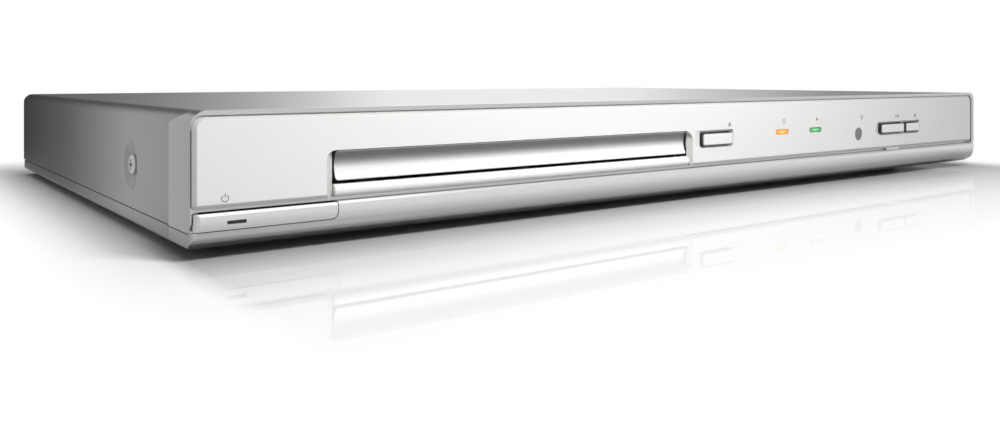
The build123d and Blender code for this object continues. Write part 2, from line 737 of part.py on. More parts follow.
def front_frame():
    """The moulded frame that carries the plate; its cheeks wrap round the sides."""
    body = from_front(case_outline(0, cheek_bottom), 0, cheek_depth)
    strip = block(-1, width + 1, -1, cover_front - seam, 0, height + 1)
    body = body & (strip + front_corners(-seam))
    body = body - from_front(case_outline(frame_side, 0), wall_back, cheek_depth + 1)
    body -= block(frame_side, width - frame_side, -1, cheek_depth + 1, 0, chin_top + fit_gap)
    # The wall behind the plate, and the lip under the front edge of the cover.
    body += block(frame_side - 0.5, width - frame_side + 0.5, cover_front - 1, wall_back,
                  chin_top + fit_gap, cover_under - seam)
    body += block(frame_side + 4, width - frame_side - 4, wall_back - 0.5, wall_back + tongue,
                  cover_under - seam - 1.6, cover_under - seam)
    # The recess of the plate. It is open at the left, where the plate reaches the side.
    recess = from_front(rounded(-1, plate_right + seam, plate_bottom - 0.5, plate_top + fit_gap,
                                0, 0.8, plate_round, 0), -1, plate_rim + 0.05)
    body -= recess
    body -= from_front(rounded(1.0, plate_right - 0.7, chin_top - 1, plate_top - 0.7,
                               0, 0.8, plate_round - 1, plate_round - 1), -1, plate_thick + 0.02)
    body -= block(-1, 3, -1, cheek_front, 0, plate_top - 4)
    # The cheek's lower front corner is round, to leave room for the chin's end.
    for x0, x1 in ((-1, frame_side), (width - frame_side, width + 1)):
        radius = 3.0
        corner = from_side([
            Line((-2, cheek_bottom - 1), (cheek_front + radius, cheek_bottom - 1)).edge(),
            Line((cheek_front + radius, cheek_bottom - 1), (cheek_front + radius, cheek_bottom)).edge(),
            ThreePointArc((cheek_front + radius, cheek_bottom),
                          (cheek_front + 0.9, cheek_bottom + 0.9),
                          (cheek_front, cheek_bottom + radius)).edge(),
            Line((cheek_front, cheek_bottom + radius), (cheek_front, chin_top + fit_gap)).edge(),
            Line((cheek_front, chin_top + fit_gap), (-2, chin_top + fit_gap)).edge(),
            Line((-2, chin_top + fit_gap), (-2, cheek_bottom - 1)).edge(),
        ], x0, x1)
        body -= corner
    body -= from_front(loop([(window_left + window_bevel_left - 0.3, sill_top + 0.1),
                             (window_right - window_bevel_right + 0.3, sill_top + 0.1),
                             (window_right - window_bevel_right + 0.3, window_top + 0.2),
                             (window_left + window_bevel_left - 0.3, window_top + 0.2)]),
                       -1, wall_back + 1)
    for left, right, low, high in key_holes():
        body -= from_front(rounded(left - play, right + play, low - play, high + play,
                                   1.4, 1.4, 1.4, 1.4), -1, wall_back + 1)
    for x in (on_lens_x, play_lens_x):
        body -= pill(x, lens_z, lens_size, fit_gap, -1, wall_back + 1)
    body -= rod_back(ir_x, ir_z, ir_radius + fit_gap, -1, wall_back + 1)
    for x, z in board_boss_at:
        body += rod_back(x, z, 2.4, wall_back - 0.5, front_board_y)
        body -= rod_back(x, z, 1.0, wall_back + 0.4, front_board_y + 1)
    return body


front_board_y = 11.4
front_board_left = eject_left - 1.0
front_board_right = (stop_right + width) / 2 - 8.75   # between the last key and the side
front_board_top = cover_under - 3.3
boss_left = front_board_left + 8.0
boss_right = front_board_right - 8.0
boss_high = front_board_top - 4.0
board_boss_at = [(boss_left, boss_high), ((boss_left + boss_right) / 2, boss_high),
                 (boss_right, boss_high), (boss_left, 13.0), (boss_right, 13.0)]


def tray_sill():
    """The white lip below the tray door."""
    left = window_left + window_bevel_left + 0.3
    right = window_right - window_bevel_right - 0.3
    outline = [
        ThreePointArc((1.5, sill_top), (0.15, (sill_top + sill_bottom) / 2), (1.3, sill_bottom)).edge(),
        Line((1.3, sill_bottom), (plate_thick, sill_bottom)).edge(),
        Line((plate_thick, sill_bottom), (plate_thick, sill_top)).edge(),
        Line((plate_thick, sill_top), (1.5, sill_top)).edge(),
    ]
    return from_side(outline, left, right)


def indicator_lens(x):
    return pill(x, lens_z, lens_size, 0, 0.1, wall_back + 1.2)


def ir_window():
    body = rod_back(ir_x, ir_z, ir_radius, 0.25, wall_back)
    return body + rod_back(ir_x, ir_z, ir_radius + 1, wall_back + 0.02, wall_back + 1)


# ---- Front board --------------------------------------------------------------------------------
def front_board():
    body = block(front_board_left, front_board_right, front_board_y, front_board_y + board_thick,
                 9, front_board_top)
    for x, z in board_boss_at:
        body -= rod_back(x, z, 1.3, front_board_y - 1, front_board_y + board_thick + 1)
    small = block(standby_switch_x - 11, standby_switch_x + 13, front_board_y + 1,
                  front_board_y + 1 + board_thick, 5.0, 12.5)
    return [body, small]


def tact_switches():
    group = []
    places = [((left + right) / 2, (low + high) / 2, front_board_y, switch_front)
              for left, right, low, high in key_holes()]
    places.append((standby_switch_x, 8.15, front_board_y + 1, 9.4 + button_travel + 0.05))
    for x, z, board, front in places:
        switch = block(x - 3, x + 3, front + 0.7, board, z - 3, z + 3)
        switch += rod_back(x, z, 1.6, front, front + 1)
        group.append(switch)
    return group


def leds():
    group = []
    for x in (on_lens_x, play_lens_x):
        group.append(block(x - 1.6, x + 1.6, wall_back + 1.6, front_board_y, lens_z - 1, lens_z + 1))
    return group


def ir_receiver():
    body = block(ir_x - 4.5, ir_x + 4.5, wall_back + 2.6, front_board_y, ir_z - 4, ir_z + 4)
    return body + rod_back(ir_x, ir_z, 2.6, wall_back + 1.3, wall_back + 3)


def front_board_screws():
    return [Pos(x, front_board_y + board_thick, z) * Rot(-90, 0, 0) * screw(2.3, 1.2, 0.95, 5.0)
            for x, z in board_boss_at]


# ---- Tray ---------------------------------------------------------------------------------------
rack_back_x = tray_left + 2.6
rack_pitch_x = rack_back_x + 4.6
drive_x = rack_pitch_x + gear_module * drive_pinion_teeth / 2
drive_y = 25.0
pulley_x = drive_x + gear_module * (drive_wheel_teeth + pulley_pinion_teeth) / 2
pulley_y = drive_y
motor_x = pulley_x + 40.0
motor_y = 24.0
rack_z1 = 18.9
wheel_z = (9.8, 12.2)
belt_z = 13.45


def tray():
    """The disc tray: a stepped round recess, side rails, the rack and the slot for the pickup."""
    body = block(tray_left, tray_right, door_back, tray_back, tray_under, tray_top)
    recess = disc_radius + disc_margin
    body -= rod_up(tray_middle, disc_y, recess, tray_floor, tray_top + 1)
    body -= rod_up(tray_middle, disc_y, small_disc_radius + 0.8, tray_floor - 0.6, tray_top + 1)
    # Finger notches on the left and right of the disc.
    body -= block(tray_left + 8, tray_right - 8, disc_y - 14, disc_y + 14, tray_floor, tray_top + 1)
    # The four thick corners are hollow from below.
    lid = tray_top - 1.8
    for x0, x1 in ((tray_left + tray_rail, tray_middle - slot_width / 2 - 2),
                   (tray_middle + slot_width / 2 + 2, tray_right - tray_rail)):
        for y0, y1 in ((door_back + 2, disc_y - 16), (disc_y + 16, tray_back - 2)):
            hollow = block(x0, x1, y0, y1, tray_under - 1, lid)
            body -= hollow - rod_up(tray_middle, disc_y, recess + 1.8, tray_under - 2, lid + 1)
    for x0 in (tray_left, tray_right - tray_rail):
        body += block(x0, x0 + tray_rail, door_back, tray_back, tray_bottom, tray_top - 1)
    body += block(tray_left, tray_right, door_back, door_back + 2, tray_bottom + 0.3, tray_top)
    rack_y1 = drive_y + tray_travel + 3.0
    body += rack(rack_pitch_x, rack_back_x, door_back + 2, min(rack_y1, tray_back), drive_y,
                 tray_bottom, tray_under + 0.1)
    body += block(rack_back_x, rack_pitch_x - tooth_dedendum, door_back, min(rack_y1, tray_back),
                  tray_under - 0.1, tray_top - 1)
    slot = rounded(tray_middle - slot_width / 2, tray_middle + slot_width / 2, disc_y - 17,
                   tray_back + 1, 17, 17, 0, 0)
    body -= from_above(slot, tray_under - 5, tray_top + 1)
    return body


def tray_door():
    """The door on the tray's front, with its long concave scoop."""
    body = block(door_left, door_right, door_front, door_back, door_bottom, door_top)
    body = fillet(body.edges().filter_by(Axis.Y), 0.9)
    middle = (door_bottom + door_top) / 2
    half = (door_top - door_bottom) / 2 - 0.35
    scoop_radius = (half ** 2 + door_scoop ** 2) / (2 * door_scoop)
    body -= rod_across(door_front + door_scoop - scoop_radius, middle, scoop_radius,
                       door_left - 1, door_right + 1)
    return body


# ---- Loader -------------------------------------------------------------------------------------
cam_y = deck_front - 3.6
deck_well = (deck_left - 2.0, deck_right + 2.0, cam_y - 1.4, hinge_y + 6.0)
cam_pins_x = [102.0, 142.0]
cam_pin_radius = 1.4
cam_left = 94.0
cam_right = 166.0
cam_low = 2.3
cam_high = 15.2
pin_drop = (hinge_y - deck_front) * sin(radians(deck_tilt))


def loader_frame():
    """The open moulded frame that guides the tray and carries the drive."""
    back = loader_back
    body = block(loader_left, loader_right, loader_front, back, loader_base_z, base_top)
    for x0 in (loader_left, loader_right - loader_wall):
        body += block(x0, x0 + loader_wall, loader_front, back, loader_base_z - 3.4, loader_top)
    body += block(loader_left, loader_right, back - loader_wall, back, loader_base_z - 3.4, loader_top)
    ledge = loader_wall + play + tray_rail - 0.3
    for x0, x1 in ((loader_left, loader_left + ledge), (loader_right - ledge, loader_right)):
        body += block(x0, x1, loader_front, back, tray_bottom - 1.2, tray_bottom - 0.2)
    hold = loader_wall + play + 2.6
    for y in (loader_front + 3, 110.0):
        for x0, x1 in ((loader_left, loader_left + hold), (loader_right - hold, loader_right)):
            body += block(x0, x1, y, y + 7, tray_top + 0.25, loader_top)
    x0, x1, y0, y1 = deck_well
    body -= block(x0, x1, y0, y1, loader_base_z - 1, base_top + 1)
    # The drive gear's wheel turns in a pocket of the left wall.
    wheel_radius = gear_module * (drive_wheel_teeth / 2 + tooth_addendum)
    body -= rod_up(drive_x, drive_y, wheel_radius + 0.5, wheel_z[0] - 0.6, wheel_z[1] + 0.6)
    # Front rail and ledge of the cam slider.
    body += block(cam_left - 14, cam_right + 14, y0 - 1.7, y0, 1.3, loader_base_z + 5)
    body += block(cam_left - 14, cam_right + 14, y0 - 1.7, y0 + 4.2, 1.3, cam_low - 0.2)
    # Hinge ears of the deck.
    for x in (deck_left - 7.5, deck_right + 2.5):
        ear = block(x, x + 5, hinge_y - 5, hinge_y + 5, loader_base_z, hinge_z + 4.5)
        body += ear
    body -= rod_across(hinge_y, hinge_z, hinge_pin_radius + pin_play, deck_left - 8, deck_right + 8)
    # Posts of the gears, hole and seat of the motor, legs.
    for x, y, top in ((drive_x, drive_y, rack_z1 - 0.3), (pulley_x, pulley_y, 15.6)):
        body += rod_up(x, y, gear_post_radius, loader_base_z, top)
        body += rod_up(x, y, 3.0, loader_base_z, wheel_z[0] - 0.25)
    body -= rod_up(motor_x, motor_y, motor_radius + 0.3, loader_base_z - 1, base_top + 1)
    for x, y in loader_legs_at:
        body += rod_up(x, y, 4.0, 2.6, base_top)
        body -= rod_up(x, y, 1.2, 0, base_top + 1)
    for x, y in bridge_screws_at:
        body += block(x - 3.4, x + 3.4, y - 4, y + 4, loader_base_z, loader_top)
        body -= rod_up(x, y, 1.1, loader_top - 8, loader_top + 1)
    return body


bridge_screws_at = [(x, y) for x in (loader_left - 2.0, loader_right + 2.0)
                    for y in (bridge_y - 10, bridge_y + 10)]
clamp_neck = 12.0
clamp_play = 0.5


def clamp_bridge():
    half = bridge_length / 2
    x0 = loader_left - 6
    x1 = loader_right + 6
    z0 = loader_top
    body = from_above(rounded(x0, x1, bridge_y - half, bridge_y + half, 4, 4, 4, 4), z0, z0 + bridge_thick)
    for y in (bridge_y - half, bridge_y + half - 1.2):
        body += block(x0 + 12, x1 - 12, y, y + 1.2, z0, z0 + 4)
    body -= rod_up(tray_middle, disc_y, clamp_neck + clamp_play, z0 - 1, z0 + 5)
    for x, y in bridge_screws_at:
        body -= rod_up(x, y, 1.5, z0 - 1, z0 + 5)
    return body


def clamper():
    """The disc clamp: a pad below the bridge and a cap above it, on one neck."""
    z0 = loader_top
    body = rod_up(tray_middle, disc_y, 15.0, z0 - 1.8, z0 - 0.3)
    body += rod_up(tray_middle, disc_y, clamp_neck, z0 - 0.4, z0 + bridge_thick + 0.4)
    cap = rod_up(tray_middle, disc_y, 16.0, z0 + bridge_thick + 0.3, z0 + bridge_thick + 2.0)
    body += chamfer(cap.edges().group_by(Axis.Z)[-1], 0.6)
    body -= Cone(6.0, 4.0, 1.2).moved(Location((tray_middle, disc_y, z0 - 1.2)))
    return body


def loader_screws():
    group = []
    for x, y in bridge_screws_at:
        group.append(Pos(x, y, loader_top + bridge_thick) * screw(2.6, 1.3, 1.05, 6.0))
    for x, y in loader_legs_at:
        group.append(Pos(x, y, base_top) * screw(2.6, 1.3, 1.05, 6.5))
    return group


def drive_gear():
    wheel_phase = 0.0
    body = gear(drive_wheel_teeth, drive_x, drive_y, *wheel_z, wheel_phase)
    body += rod_up(drive_x, drive_y, 7.5, wheel_z[0], rack_z1 - 0.5)
    body += gear(drive_pinion_teeth, drive_x, drive_y, tray_bottom + 0.1, rack_z1 - 0.3, 180.0)
    return body - rod_up(drive_x, drive_y, gear_post_radius + pin_play, 0, height)


def pulley_gear():
    # Its teeth mesh with the wheel's on the line between the two centres.
    gap_phase = 180.0 + 180.0 / pulley_pinion_teeth
    body = gear(pulley_pinion_teeth, pulley_x, pulley_y, wheel_z[0], wheel_z[1] + 0.5, gap_phase)
    body += grooved(pulley_x, pulley_y, pulley_groove, wheel_z[1] + 0.4)
    return body - rod_up(pulley_x, pulley_y, gear_post_radius + pin_play, 0, height)


def grooved(x, y, radius, z0):
    """A belt pulley: two rims and the groove between them."""
    rim = 0.45
    low = belt_z - 0.15
    high = belt_z + belt_height + 0.15
    body = rod_up(x, y, radius, z0, high + rim)
    body += rod_up(x, y, radius + 1.5, low - rim, low)
    return body + rod_up(x, y, radius + 1.5, high, high + rim)


def motor_pulley():
    body = grooved(motor_x, motor_y, motor_groove, 12.7)
    return body + rod_up(motor_x, motor_y, 1.0, 6.0, 13.5)


def loading_motor():
    body = rod_up(motor_x, motor_y, motor_radius, motor_bottom, 11.9)
    body = chamfer(body.edges().group_by(Axis.Z)[0], 1.0)
    body += rod_up(motor_x, motor_y, motor_radius + 3, base_top, base_top + 1)
    body += rod_up(motor_x, motor_y, 2.4, 11.8, 12.4)
    return body - rod_up(motor_x, motor_y, 1.0 + pin_play, 5.5, 13)


def drive_belt():
    """A flat loop round both pulleys, from their outer tangents."""
    gap = hypot(motor_x - pulley_x, motor_y - pulley_y)
    heading = atan2(motor_y - pulley_y, motor_x - pulley_x)

    def ring(extra):
        big = pulley_groove + extra
        small = motor_groove + extra
        lean = acos((big - small) / gap)
        pts = []
        for x, y, r, turn in ((pulley_x, pulley_y, big, lean), (motor_x, motor_y, small, lean)):
            for sign in (1, -1):
                angle = heading + sign * turn
                pts.append((x + r * cos(angle), y + r * sin(angle)))
        far_big = (pulley_x - big * cos(heading), pulley_y - big * sin(heading))
        far_small = (motor_x + small * cos(heading), motor_y + small * sin(heading))
        return [
            ThreePointArc(pts[0], far_big, pts[1]).edge(),
            Line(pts[1], pts[3]).edge(),
            ThreePointArc(pts[3], far_small, pts[2]).edge(),
            Line(pts[2], pts[0]).edge(),
        ]

    outer = from_above(ring(fit_gap + belt_thick), belt_z, belt_z + belt_height)
    return outer - from_above(ring(fit_gap), belt_z - 1, belt_z + belt_height + 1)


def cam_slider():
    """The sliding plate whose slanting slots lower the deck."""
    body = block(cam_left, cam_right, cam_y, cam_y + cam_sheet, cam_low, cam_high)
    pin_z = deck_z + deck_sheet / 2
    half = cam_pin_radius + 0.2
    slope = atan2(pin_drop, cam_travel)
    for x in cam_pins_x:
        length = hypot(cam_travel, pin_drop)
        middle = ((x + x + cam_travel) / 2, pin_z - pin_drop / 2)
        slot = RectangleRounded(length + 2 * half, 2 * half, half - 0.001)
        place = Plane(origin=(middle[0], cam_y + cam_sheet + 1, middle[1]), x_dir=(1, 0, 0), z_dir=(0, -1, 0))
        cut = extrude(place * (Rot(0, 0, -slope * 180 / pi) * slot), amount=cam_sheet + 2)
        body -= cut
    return body


# ---- Deck ---------------------------------------------------------------------------------------
rods_x = [tray_middle - rod_spread / 2, tray_middle + rod_spread / 2]
rod_front = 82.5
rod_rear = 158.0
sled_front = sled_y - 10.0
sled_back = sled_front + sled_length
sled_left = rods_x[0] - 4.5
sled_right = rods_x[1] + 3.0
feed_pitch_x = sled_right + 5.5
feed_x = feed_pitch_x + gear_module * feed_pinion_teeth / 2
feed_y = 114.0
feed_motor_y = feed_y + gear_module * (feed_wheel_teeth + feed_pinion_teeth) / 2
feed_wheel_z = (deck_top + 0.3, deck_top + 1.7)
feed_rack_z = (14.0, 15.6)


def deck_plate():
    body = block(deck_left, deck_right, deck_front, hinge_y + 3, deck_z, deck_top)
    well = (sled_left - 1.5, sled_right + 1.2, sled_front - 2, sled_back + sled_travel + 2)
    body -= block(*well, deck_z - 1, deck_top + 1)
    for x in rods_x:
        for y0, y1 in ((rod_front, well[2] - 0.2), (rod_rear - 4, rod_rear)):
            holder = block(x - 3, x + 3, y0, y1, deck_z, rod_z + 2.6)
            body += holder
        body -= rod_back(x, rod_z, rod_radius, rod_front - 1, rod_rear + 1)
    body += rod_across(hinge_y, hinge_z, hinge_pin_radius, deck_left - 7, deck_left + 2)
    body += rod_across(hinge_y, hinge_z, hinge_pin_radius, deck_right - 2, deck_right + 7)
    pin_z = deck_z + deck_sheet / 2
    for x in cam_pins_x:
        body += rod_back(x, pin_z, cam_pin_radius, cam_y + 0.1, deck_front + 2)
        body += block(x - 3, x + 3, deck_front - 0.5, deck_front + 4, deck_z - 0.8, deck_top + 0.8)
    body += rod_up(feed_x, feed_y, 1.2, deck_z, 15.8)
    body -= rod_up(feed_x, feed_motor_y, 1.4, deck_z - 1, deck_top + 1)
    body -= rod_up(tray_middle, disc_y, 4.0, deck_z - 1, deck_top + 1)
    return body


def guide_rods():
    return [rod_back(x, rod_z, rod_radius, rod_front, rod_rear) for x in rods_x]


def spindle_motor():
    body = rod_up(tray_middle, disc_y, 11.0, deck_top, 17.2)
    body = chamfer(body.edges().group_by(Axis.Z)[-1], 0.6)
    body += rod_up(tray_middle, disc_y, 3.9, deck_z - 1.2, deck_top + 0.5)
    return body - rod_up(tray_middle, disc_y, 1.0 + pin_play, deck_z + 0.2, 18)


def turntable():
    """The rotor's shaft and the table, with the cone that centres the disc."""
    body = rod_up(tray_middle, disc_y, 1.0, deck_z + 0.4, 18.2)
    body += rod_up(tray_middle, disc_y, 9.0, 17.6, 20.6)
    table = rod_up(tray_middle, disc_y, 14.5, 20.2, 21.6)
    body += chamfer(table.edges().group_by(Axis.Z)[0], 0.5)
    cone = Cone(7.4, 5.6, 2.0).moved(Location((tray_middle, disc_y, 22.6)))
    return body + cone


def pickup_sled():
    """The carriage of the laser pickup, with the bushes of its rods and its rack."""
    z0 = deck_z + 0.6
    body = block(sled_left, sled_right, sled_front, sled_back, z0, 17.2)
    body -= block(rods_x[0] + 4.5, rods_x[1] - 4.5, sled_front + 2, sled_back - 2, 15.4, 18)
    for x in rods_x:
        body -= rod_back(x, rod_z, rod_radius + pin_play, sled_front - 1, sled_back + 1)
    rack_y0 = feed_y - sled_travel - 3
    body += rack(feed_pitch_x, sled_right + 0.4, rack_y0, feed_y + 3, feed_y, *feed_rack_z)
    return body + block(sled_right - 1, sled_right + 1, sled_front, sled_back, *feed_rack_z)


def objective_lens():
    """The lens in its floating holder, on the pickup."""
    holder = block(tray_middle - 7, tray_middle + 7, sled_y - 5.5, sled_y + 5.5, 15.4, 18.4)
    holder += rod_up(tray_middle, sled_y, 3.4, 18.2, 19.2)
    lens = Sphere(4.0).moved(Location((tray_middle, sled_y, 15.9))) & rod_up(
        tray_middle, sled_y, 2.6, 19.1, 21)
    return holder + lens


def feed_gear():
    body = gear(feed_wheel_teeth, feed_x, feed_y, *feed_wheel_z, 0)
    body += rod_up(feed_x, feed_y, 5.0, feed_wheel_z[0], feed_rack_z[0] + 0.2)
    body += gear(feed_pinion_teeth, feed_x, feed_y, feed_rack_z[0] - 0.1, feed_rack_z[1], 180.0)
    return body - rod_up(feed_x, feed_y, 1.2 + pin_play, 0, height)


def feed_pinion():
    # The wheel's tooth at +y is met by a gap of the pinion.
    wheel_offset = 90.0 % (360.0 / feed_wheel_teeth)
    gap_phase = -90.0 + 180.0 / feed_pinion_teeth
    turn = wheel_offset * feed_wheel_teeth / feed_pinion_teeth
    body = gear(feed_pinion_teeth, feed_x, feed_motor_y, *feed_wheel_z, gap_phase + turn)
    return body + rod_up(feed_x, feed_motor_y, 0.8, deck_z - 3, deck_top + 0.4)


def feed_motor():
    body = rod_up(feed_x, feed_motor_y, 6.0, 6.4, deck_z)
    return body - rod_up(feed_x, feed_motor_y, 0.8 + pin_play, deck_z - 3.3, deck_z + 1)


# ---- Boards and rear sockets --------------------------------------------------------------------
def board(box):
    x0, x1, y0, y1 = box
    body = block(x0, x1, y0, y1, board_z, board_z + board_thick)
    for x, y in board_screws_at:
        if x0 < x < x1 and y0 < y < y1:
            body -= rod_up(x, y, 1.5, board_z - 1, board_z + board_thick + 1)
    return body


board_top = board_z + board_thick


def main_chips():
    group = []
    for across, back, size, tall in ((0.42, 0.46, 28.0, 1.8), (0.64, 0.43, 20.0, 1.4),
                                     (0.26, 0.51, 16.0, 1.4), (0.42, 0.73, 14.0, 1.2),
                                     (0.81, 0.54, 12.0, 1.6)):
        x, y = on_board(main_board_box, across, back)
        half = size / 2
        group.append(block(x - half, x + half, y - half, y + half, board_top, board_top + tall))
    return group


def board_capacitors():
    group = []
    for across, back, radius, tall in ((0.13, 0.24, 4.0, 11.0), (0.19, 0.24, 4.0, 11.0),
                                       (0.56, 0.24, 3.2, 8.0), (0.89, 0.31, 5.0, 12.0),
                                       (0.89, 0.42, 3.2, 8.0), (0.13, 0.65, 3.2, 8.0)):
        x, y = on_board(main_board_box, across, back)
        group.append(rod_up(x, y, radius, board_top, board_top + tall))
    return group


def power_capacitors():
    x, y = on_board(power_board_box, 0.386, 0.75)
    group = [rod_up(x, y, 8.0, board_top, board_top + 24.0)]
    for across in (0.723, 0.795, 0.867):
        x, y = on_board(power_board_box, across, 0.25)
        group.append(rod_up(x, y, 5.0, board_top, board_top + 18.0))
    return group


def transformer():
    x, y = on_board(power_board_box, 0.554, 0.47)
    core = block(x - 14, x + 14, y - 14, y + 14, board_top + 1, board_top + 20)
    coil = block(x - 10, x + 10, y - 17.5, y + 17.5, board_top + 4, board_top + 17)
    legs = block(x - 14, x + 14, y - 10, y + 10, board_top, board_top + 1.5)
    return core + coil + legs


def heat_sink():
    x0, y0 = on_board(power_board_box, 0.217, 0.25)
    body = block(x0, x0 + 34, y0, y0 + 2.5, board_top, board_top + 22)
    for fin in range(6):
        x = x0 + 1.0 + fin * 6.0
        body += block(x, x + 1.4, y0 - 6, y0 + 1, board_top, board_top + 22)
    return body


def ac_inlet():
    """A two-pin power inlet with its figure-of-eight socket."""
    panel = rear_inner - fit_gap
    body = block(inlet_x - 10.3, inlet_x + 10.3, panel - inlet_body, panel, board_top, 20.8)
    body += block(inlet_x - 10.3, inlet_x + 10.3, panel - 8, rear_outer + 0.6, 9.2, 20.8)
    body += block(inlet_x - 13, inlet_x + 13, rear_outer, rear_outer + 0.8, 8.4, 22.4)
    z = 15.4
    socket = rod_back(inlet_x - 3.4, z, 4.2, panel - 10, rear_outer + 2)
    socket += rod_back(inlet_x + 3.4, z, 4.2, panel - 10, rear_outer + 2)
    body -= socket
    for x in (inlet_x - 4.1, inlet_x + 4.1):
        body += rod_back(x, z, 1.1, panel - 11, rear_outer - 1)
    return body


def jack_block(name):
    """A block of round signal sockets: a sleeve round an insulator with a hole for the pin."""
    columns, rows = jack_rows[name]
    panel = rear_inner - fit_gap
    body = block(columns[0] - 7, columns[-1] + 7, panel - jack_body, panel, board_top,
                 rows[-1] + 7 if len(rows) > 1 else rows[0] + 7)
    for x in columns:
        for z in rows:
            body += rod_back(x, z, jack_radius + collar, rear_inner - 1, rear_outer + 1.0)
            body += rod_back(x, z, jack_radius, rear_outer, depth + jack_proud)
    for x in columns:
        for z in rows:
            body -= rod_back(x, z, 1.6, panel - jack_pin_depth, depth + jack_proud + 1)
    return body


def digital_jack():
    x = digital_jack_x
    panel = rear_inner - fit_gap
    body = block(x - 6, x + 6, panel - jack_body, panel, board_top, 20)
    body += rod_back(x, low_row, jack_radius + collar, rear_inner - 1, rear_outer + 1.0)
    body += rod_back(x, low_row, jack_radius, rear_outer, depth + jack_proud)
    return body - rod_back(x, low_row, 1.6, panel - jack_pin_depth, depth + jack_proud + 1)


def round_socket():
    """The small round socket for separated video."""
    panel = rear_inner - fit_gap
    body = block(round_socket_x - 7, round_socket_x + 7, panel - jack_body, panel, board_top, 22)
    body += rod_back(round_socket_x, 14.5, 7.2, rear_inner - 1, rear_outer + 1.2)
    body -= rod_back(round_socket_x, 14.5, 5.2, rear_outer - 6, rear_outer + 3)
    for turn in (45, 135, 225, 315):
        x = round_socket_x + 2.6 * cos(radians(turn))
        z = 14.5 + 2.6 * sin(radians(turn))
        body -= rod_back(x, z, 0.6, rear_outer - 9, rear_outer)
    return body


def optical_socket():
    panel = rear_inner - fit_gap
    body = block(optical_x - 4.9, optical_x + 4.9, panel - inlet_body, panel, board_top, 18.1)
    body += block(optical_x - 4.9, optical_x + 4.9, panel - 8, rear_outer + 1.0, 9.2, 18.1)
    return body - block(optical_x - 3.1, optical_x + 3.1, rear_outer - 7, rear_outer + 2, 9.9, 16.1)


def board_screws():
    return [Pos(x, y, board_top) * screw(2.6, 1.3, 1.0, 5.0) for x, y in board_screws_at]


def ribbon_cable():
    """The flat ribbon from the main board up and forward to the front board."""
    x0 = main_board_left + 18.0
    x1 = x0 + 16.0
    thick = 0.4
    y_board = front_board_y + board_thick
    y_end = main_board_front + 12.0
    outline = [(y_end, board_top), (y_end, board_top + 3.0), (y_end - 4.0, board_top + 7.0),
               (y_board + 6.0, board_top + 7.0), (y_board, board_top + 10.0),
               (y_board, board_top + 10.0 + thick), (y_board + 6.0, board_top + 7.0 + thick),
               (y_end - 3.8, board_top + 7.0 + thick), (y_end + thick, board_top + 3.2),
               (y_end + thick, board_top)]
    return from_side(loop(outline), x0, x1)


# ---- All nodes ----------------------------------------------------------------------------------
nodes = {
    "top_cover": top_cover,
    "bottom_chassis": bottom_chassis,
    "rear_panel": rear_panel,
    "feet": feet,
    "cover_side_screws": cover_side_screws,
    "cover_rear_screws": cover_rear_screws,
    "front_frame": front_frame,
    "chin_moulding": chin,
    "fascia_plate": fascia_plate,
    "tray_sill": tray_sill,
    "standby_button": standby_button,
    "open_close_button": lambda: button(*key_holes()[0]),
    "play_pause_button": lambda: button(*key_holes()[1]),
    "stop_button": lambda: button(*key_holes()[2]),
    "on_lens": lambda: indicator_lens(on_lens_x),
    "play_lens": lambda: indicator_lens(play_lens_x),
    "ir_window": ir_window,
    "front_board": front_board,
    "tact_switches": tact_switches,
    "leds": leds,
    "ir_receiver": ir_receiver,
    "front_board_screws": front_board_screws,
    "tray": tray,
    "tray_door": tray_door,
    "loader_frame": loader_frame,
    "clamp_bridge": clamp_bridge,
    "clamper": clamper,
    "loader_screws": loader_screws,
    "drive_gear": drive_gear,
    "pulley_gear": pulley_gear,
    "motor_pulley": motor_pulley,
    "loading_motor": loading_motor,
    "drive_belt": drive_belt,
    "cam_slider": cam_slider,
    "deck_plate": deck_plate,
    "guide_rods": guide_rods,
    "spindle_motor": spindle_motor,
    "turntable": turntable,
    "pickup_sled": pickup_sled,
    "objective_lens": objective_lens,
    "feed_gear": feed_gear,
    "feed_pinion": feed_pinion,
    "feed_motor": feed_motor,
    "main_board": lambda: board(main_board_box),
    "power_board": lambda: board(power_board_box),
    "main_chips": main_chips,
    "board_capacitors": board_capacitors,
    "power_capacitors": power_capacitors,
    "transformer": transformer,
    "heat_sink": heat_sink,
    "ac_inlet": ac_inlet,
    "audio_jacks": lambda: jack_block("audio_jacks"),
    "video_jacks": lambda: jack_block("video_jacks"),
    "digital_jack": digital_jack,
    "round_socket": round_socket,
    "optical_socket": optical_socket,
    "board_screws": board_screws,
    "ribbon_cable": ribbon_cable,
}

# The whole player reaches from the chin's round front to the ends of the rear sockets.
front_most = chin_centre_y - chin_radius
rear_most = depth + jack_proud
to_origin = Location((-width / 2, -(front_most + rear_most) / 2, foot_height))

os.makedirs("parts", exist_ok=True)
for name, build in nodes.items():
    shape = build()
    solids = shape if isinstance(shape, list) else [shape]
    solids = [solid for item in solids for solid in item.solids()]
    whole = Compound(children=[solid.moved(to_origin) for solid in solids])
    whole.label = name
    export_step(whole, f"parts/{name}.step")
    print(name, len(solids), round(sum(solid.volume for solid in solids), 1))
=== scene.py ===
# %% [markdown]
# # A slim silver disc player, dressed for its picture
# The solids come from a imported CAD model: every cover, key and gear is already in its real place, in
# metres, with -Y out of the front. Blender adds what CAD leaves out: paints, plastics, metals, the
# printed marks, the light and the camera. The model is loaded once, and nothing in it is moved.

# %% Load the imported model
import json
from math import atan2, pi

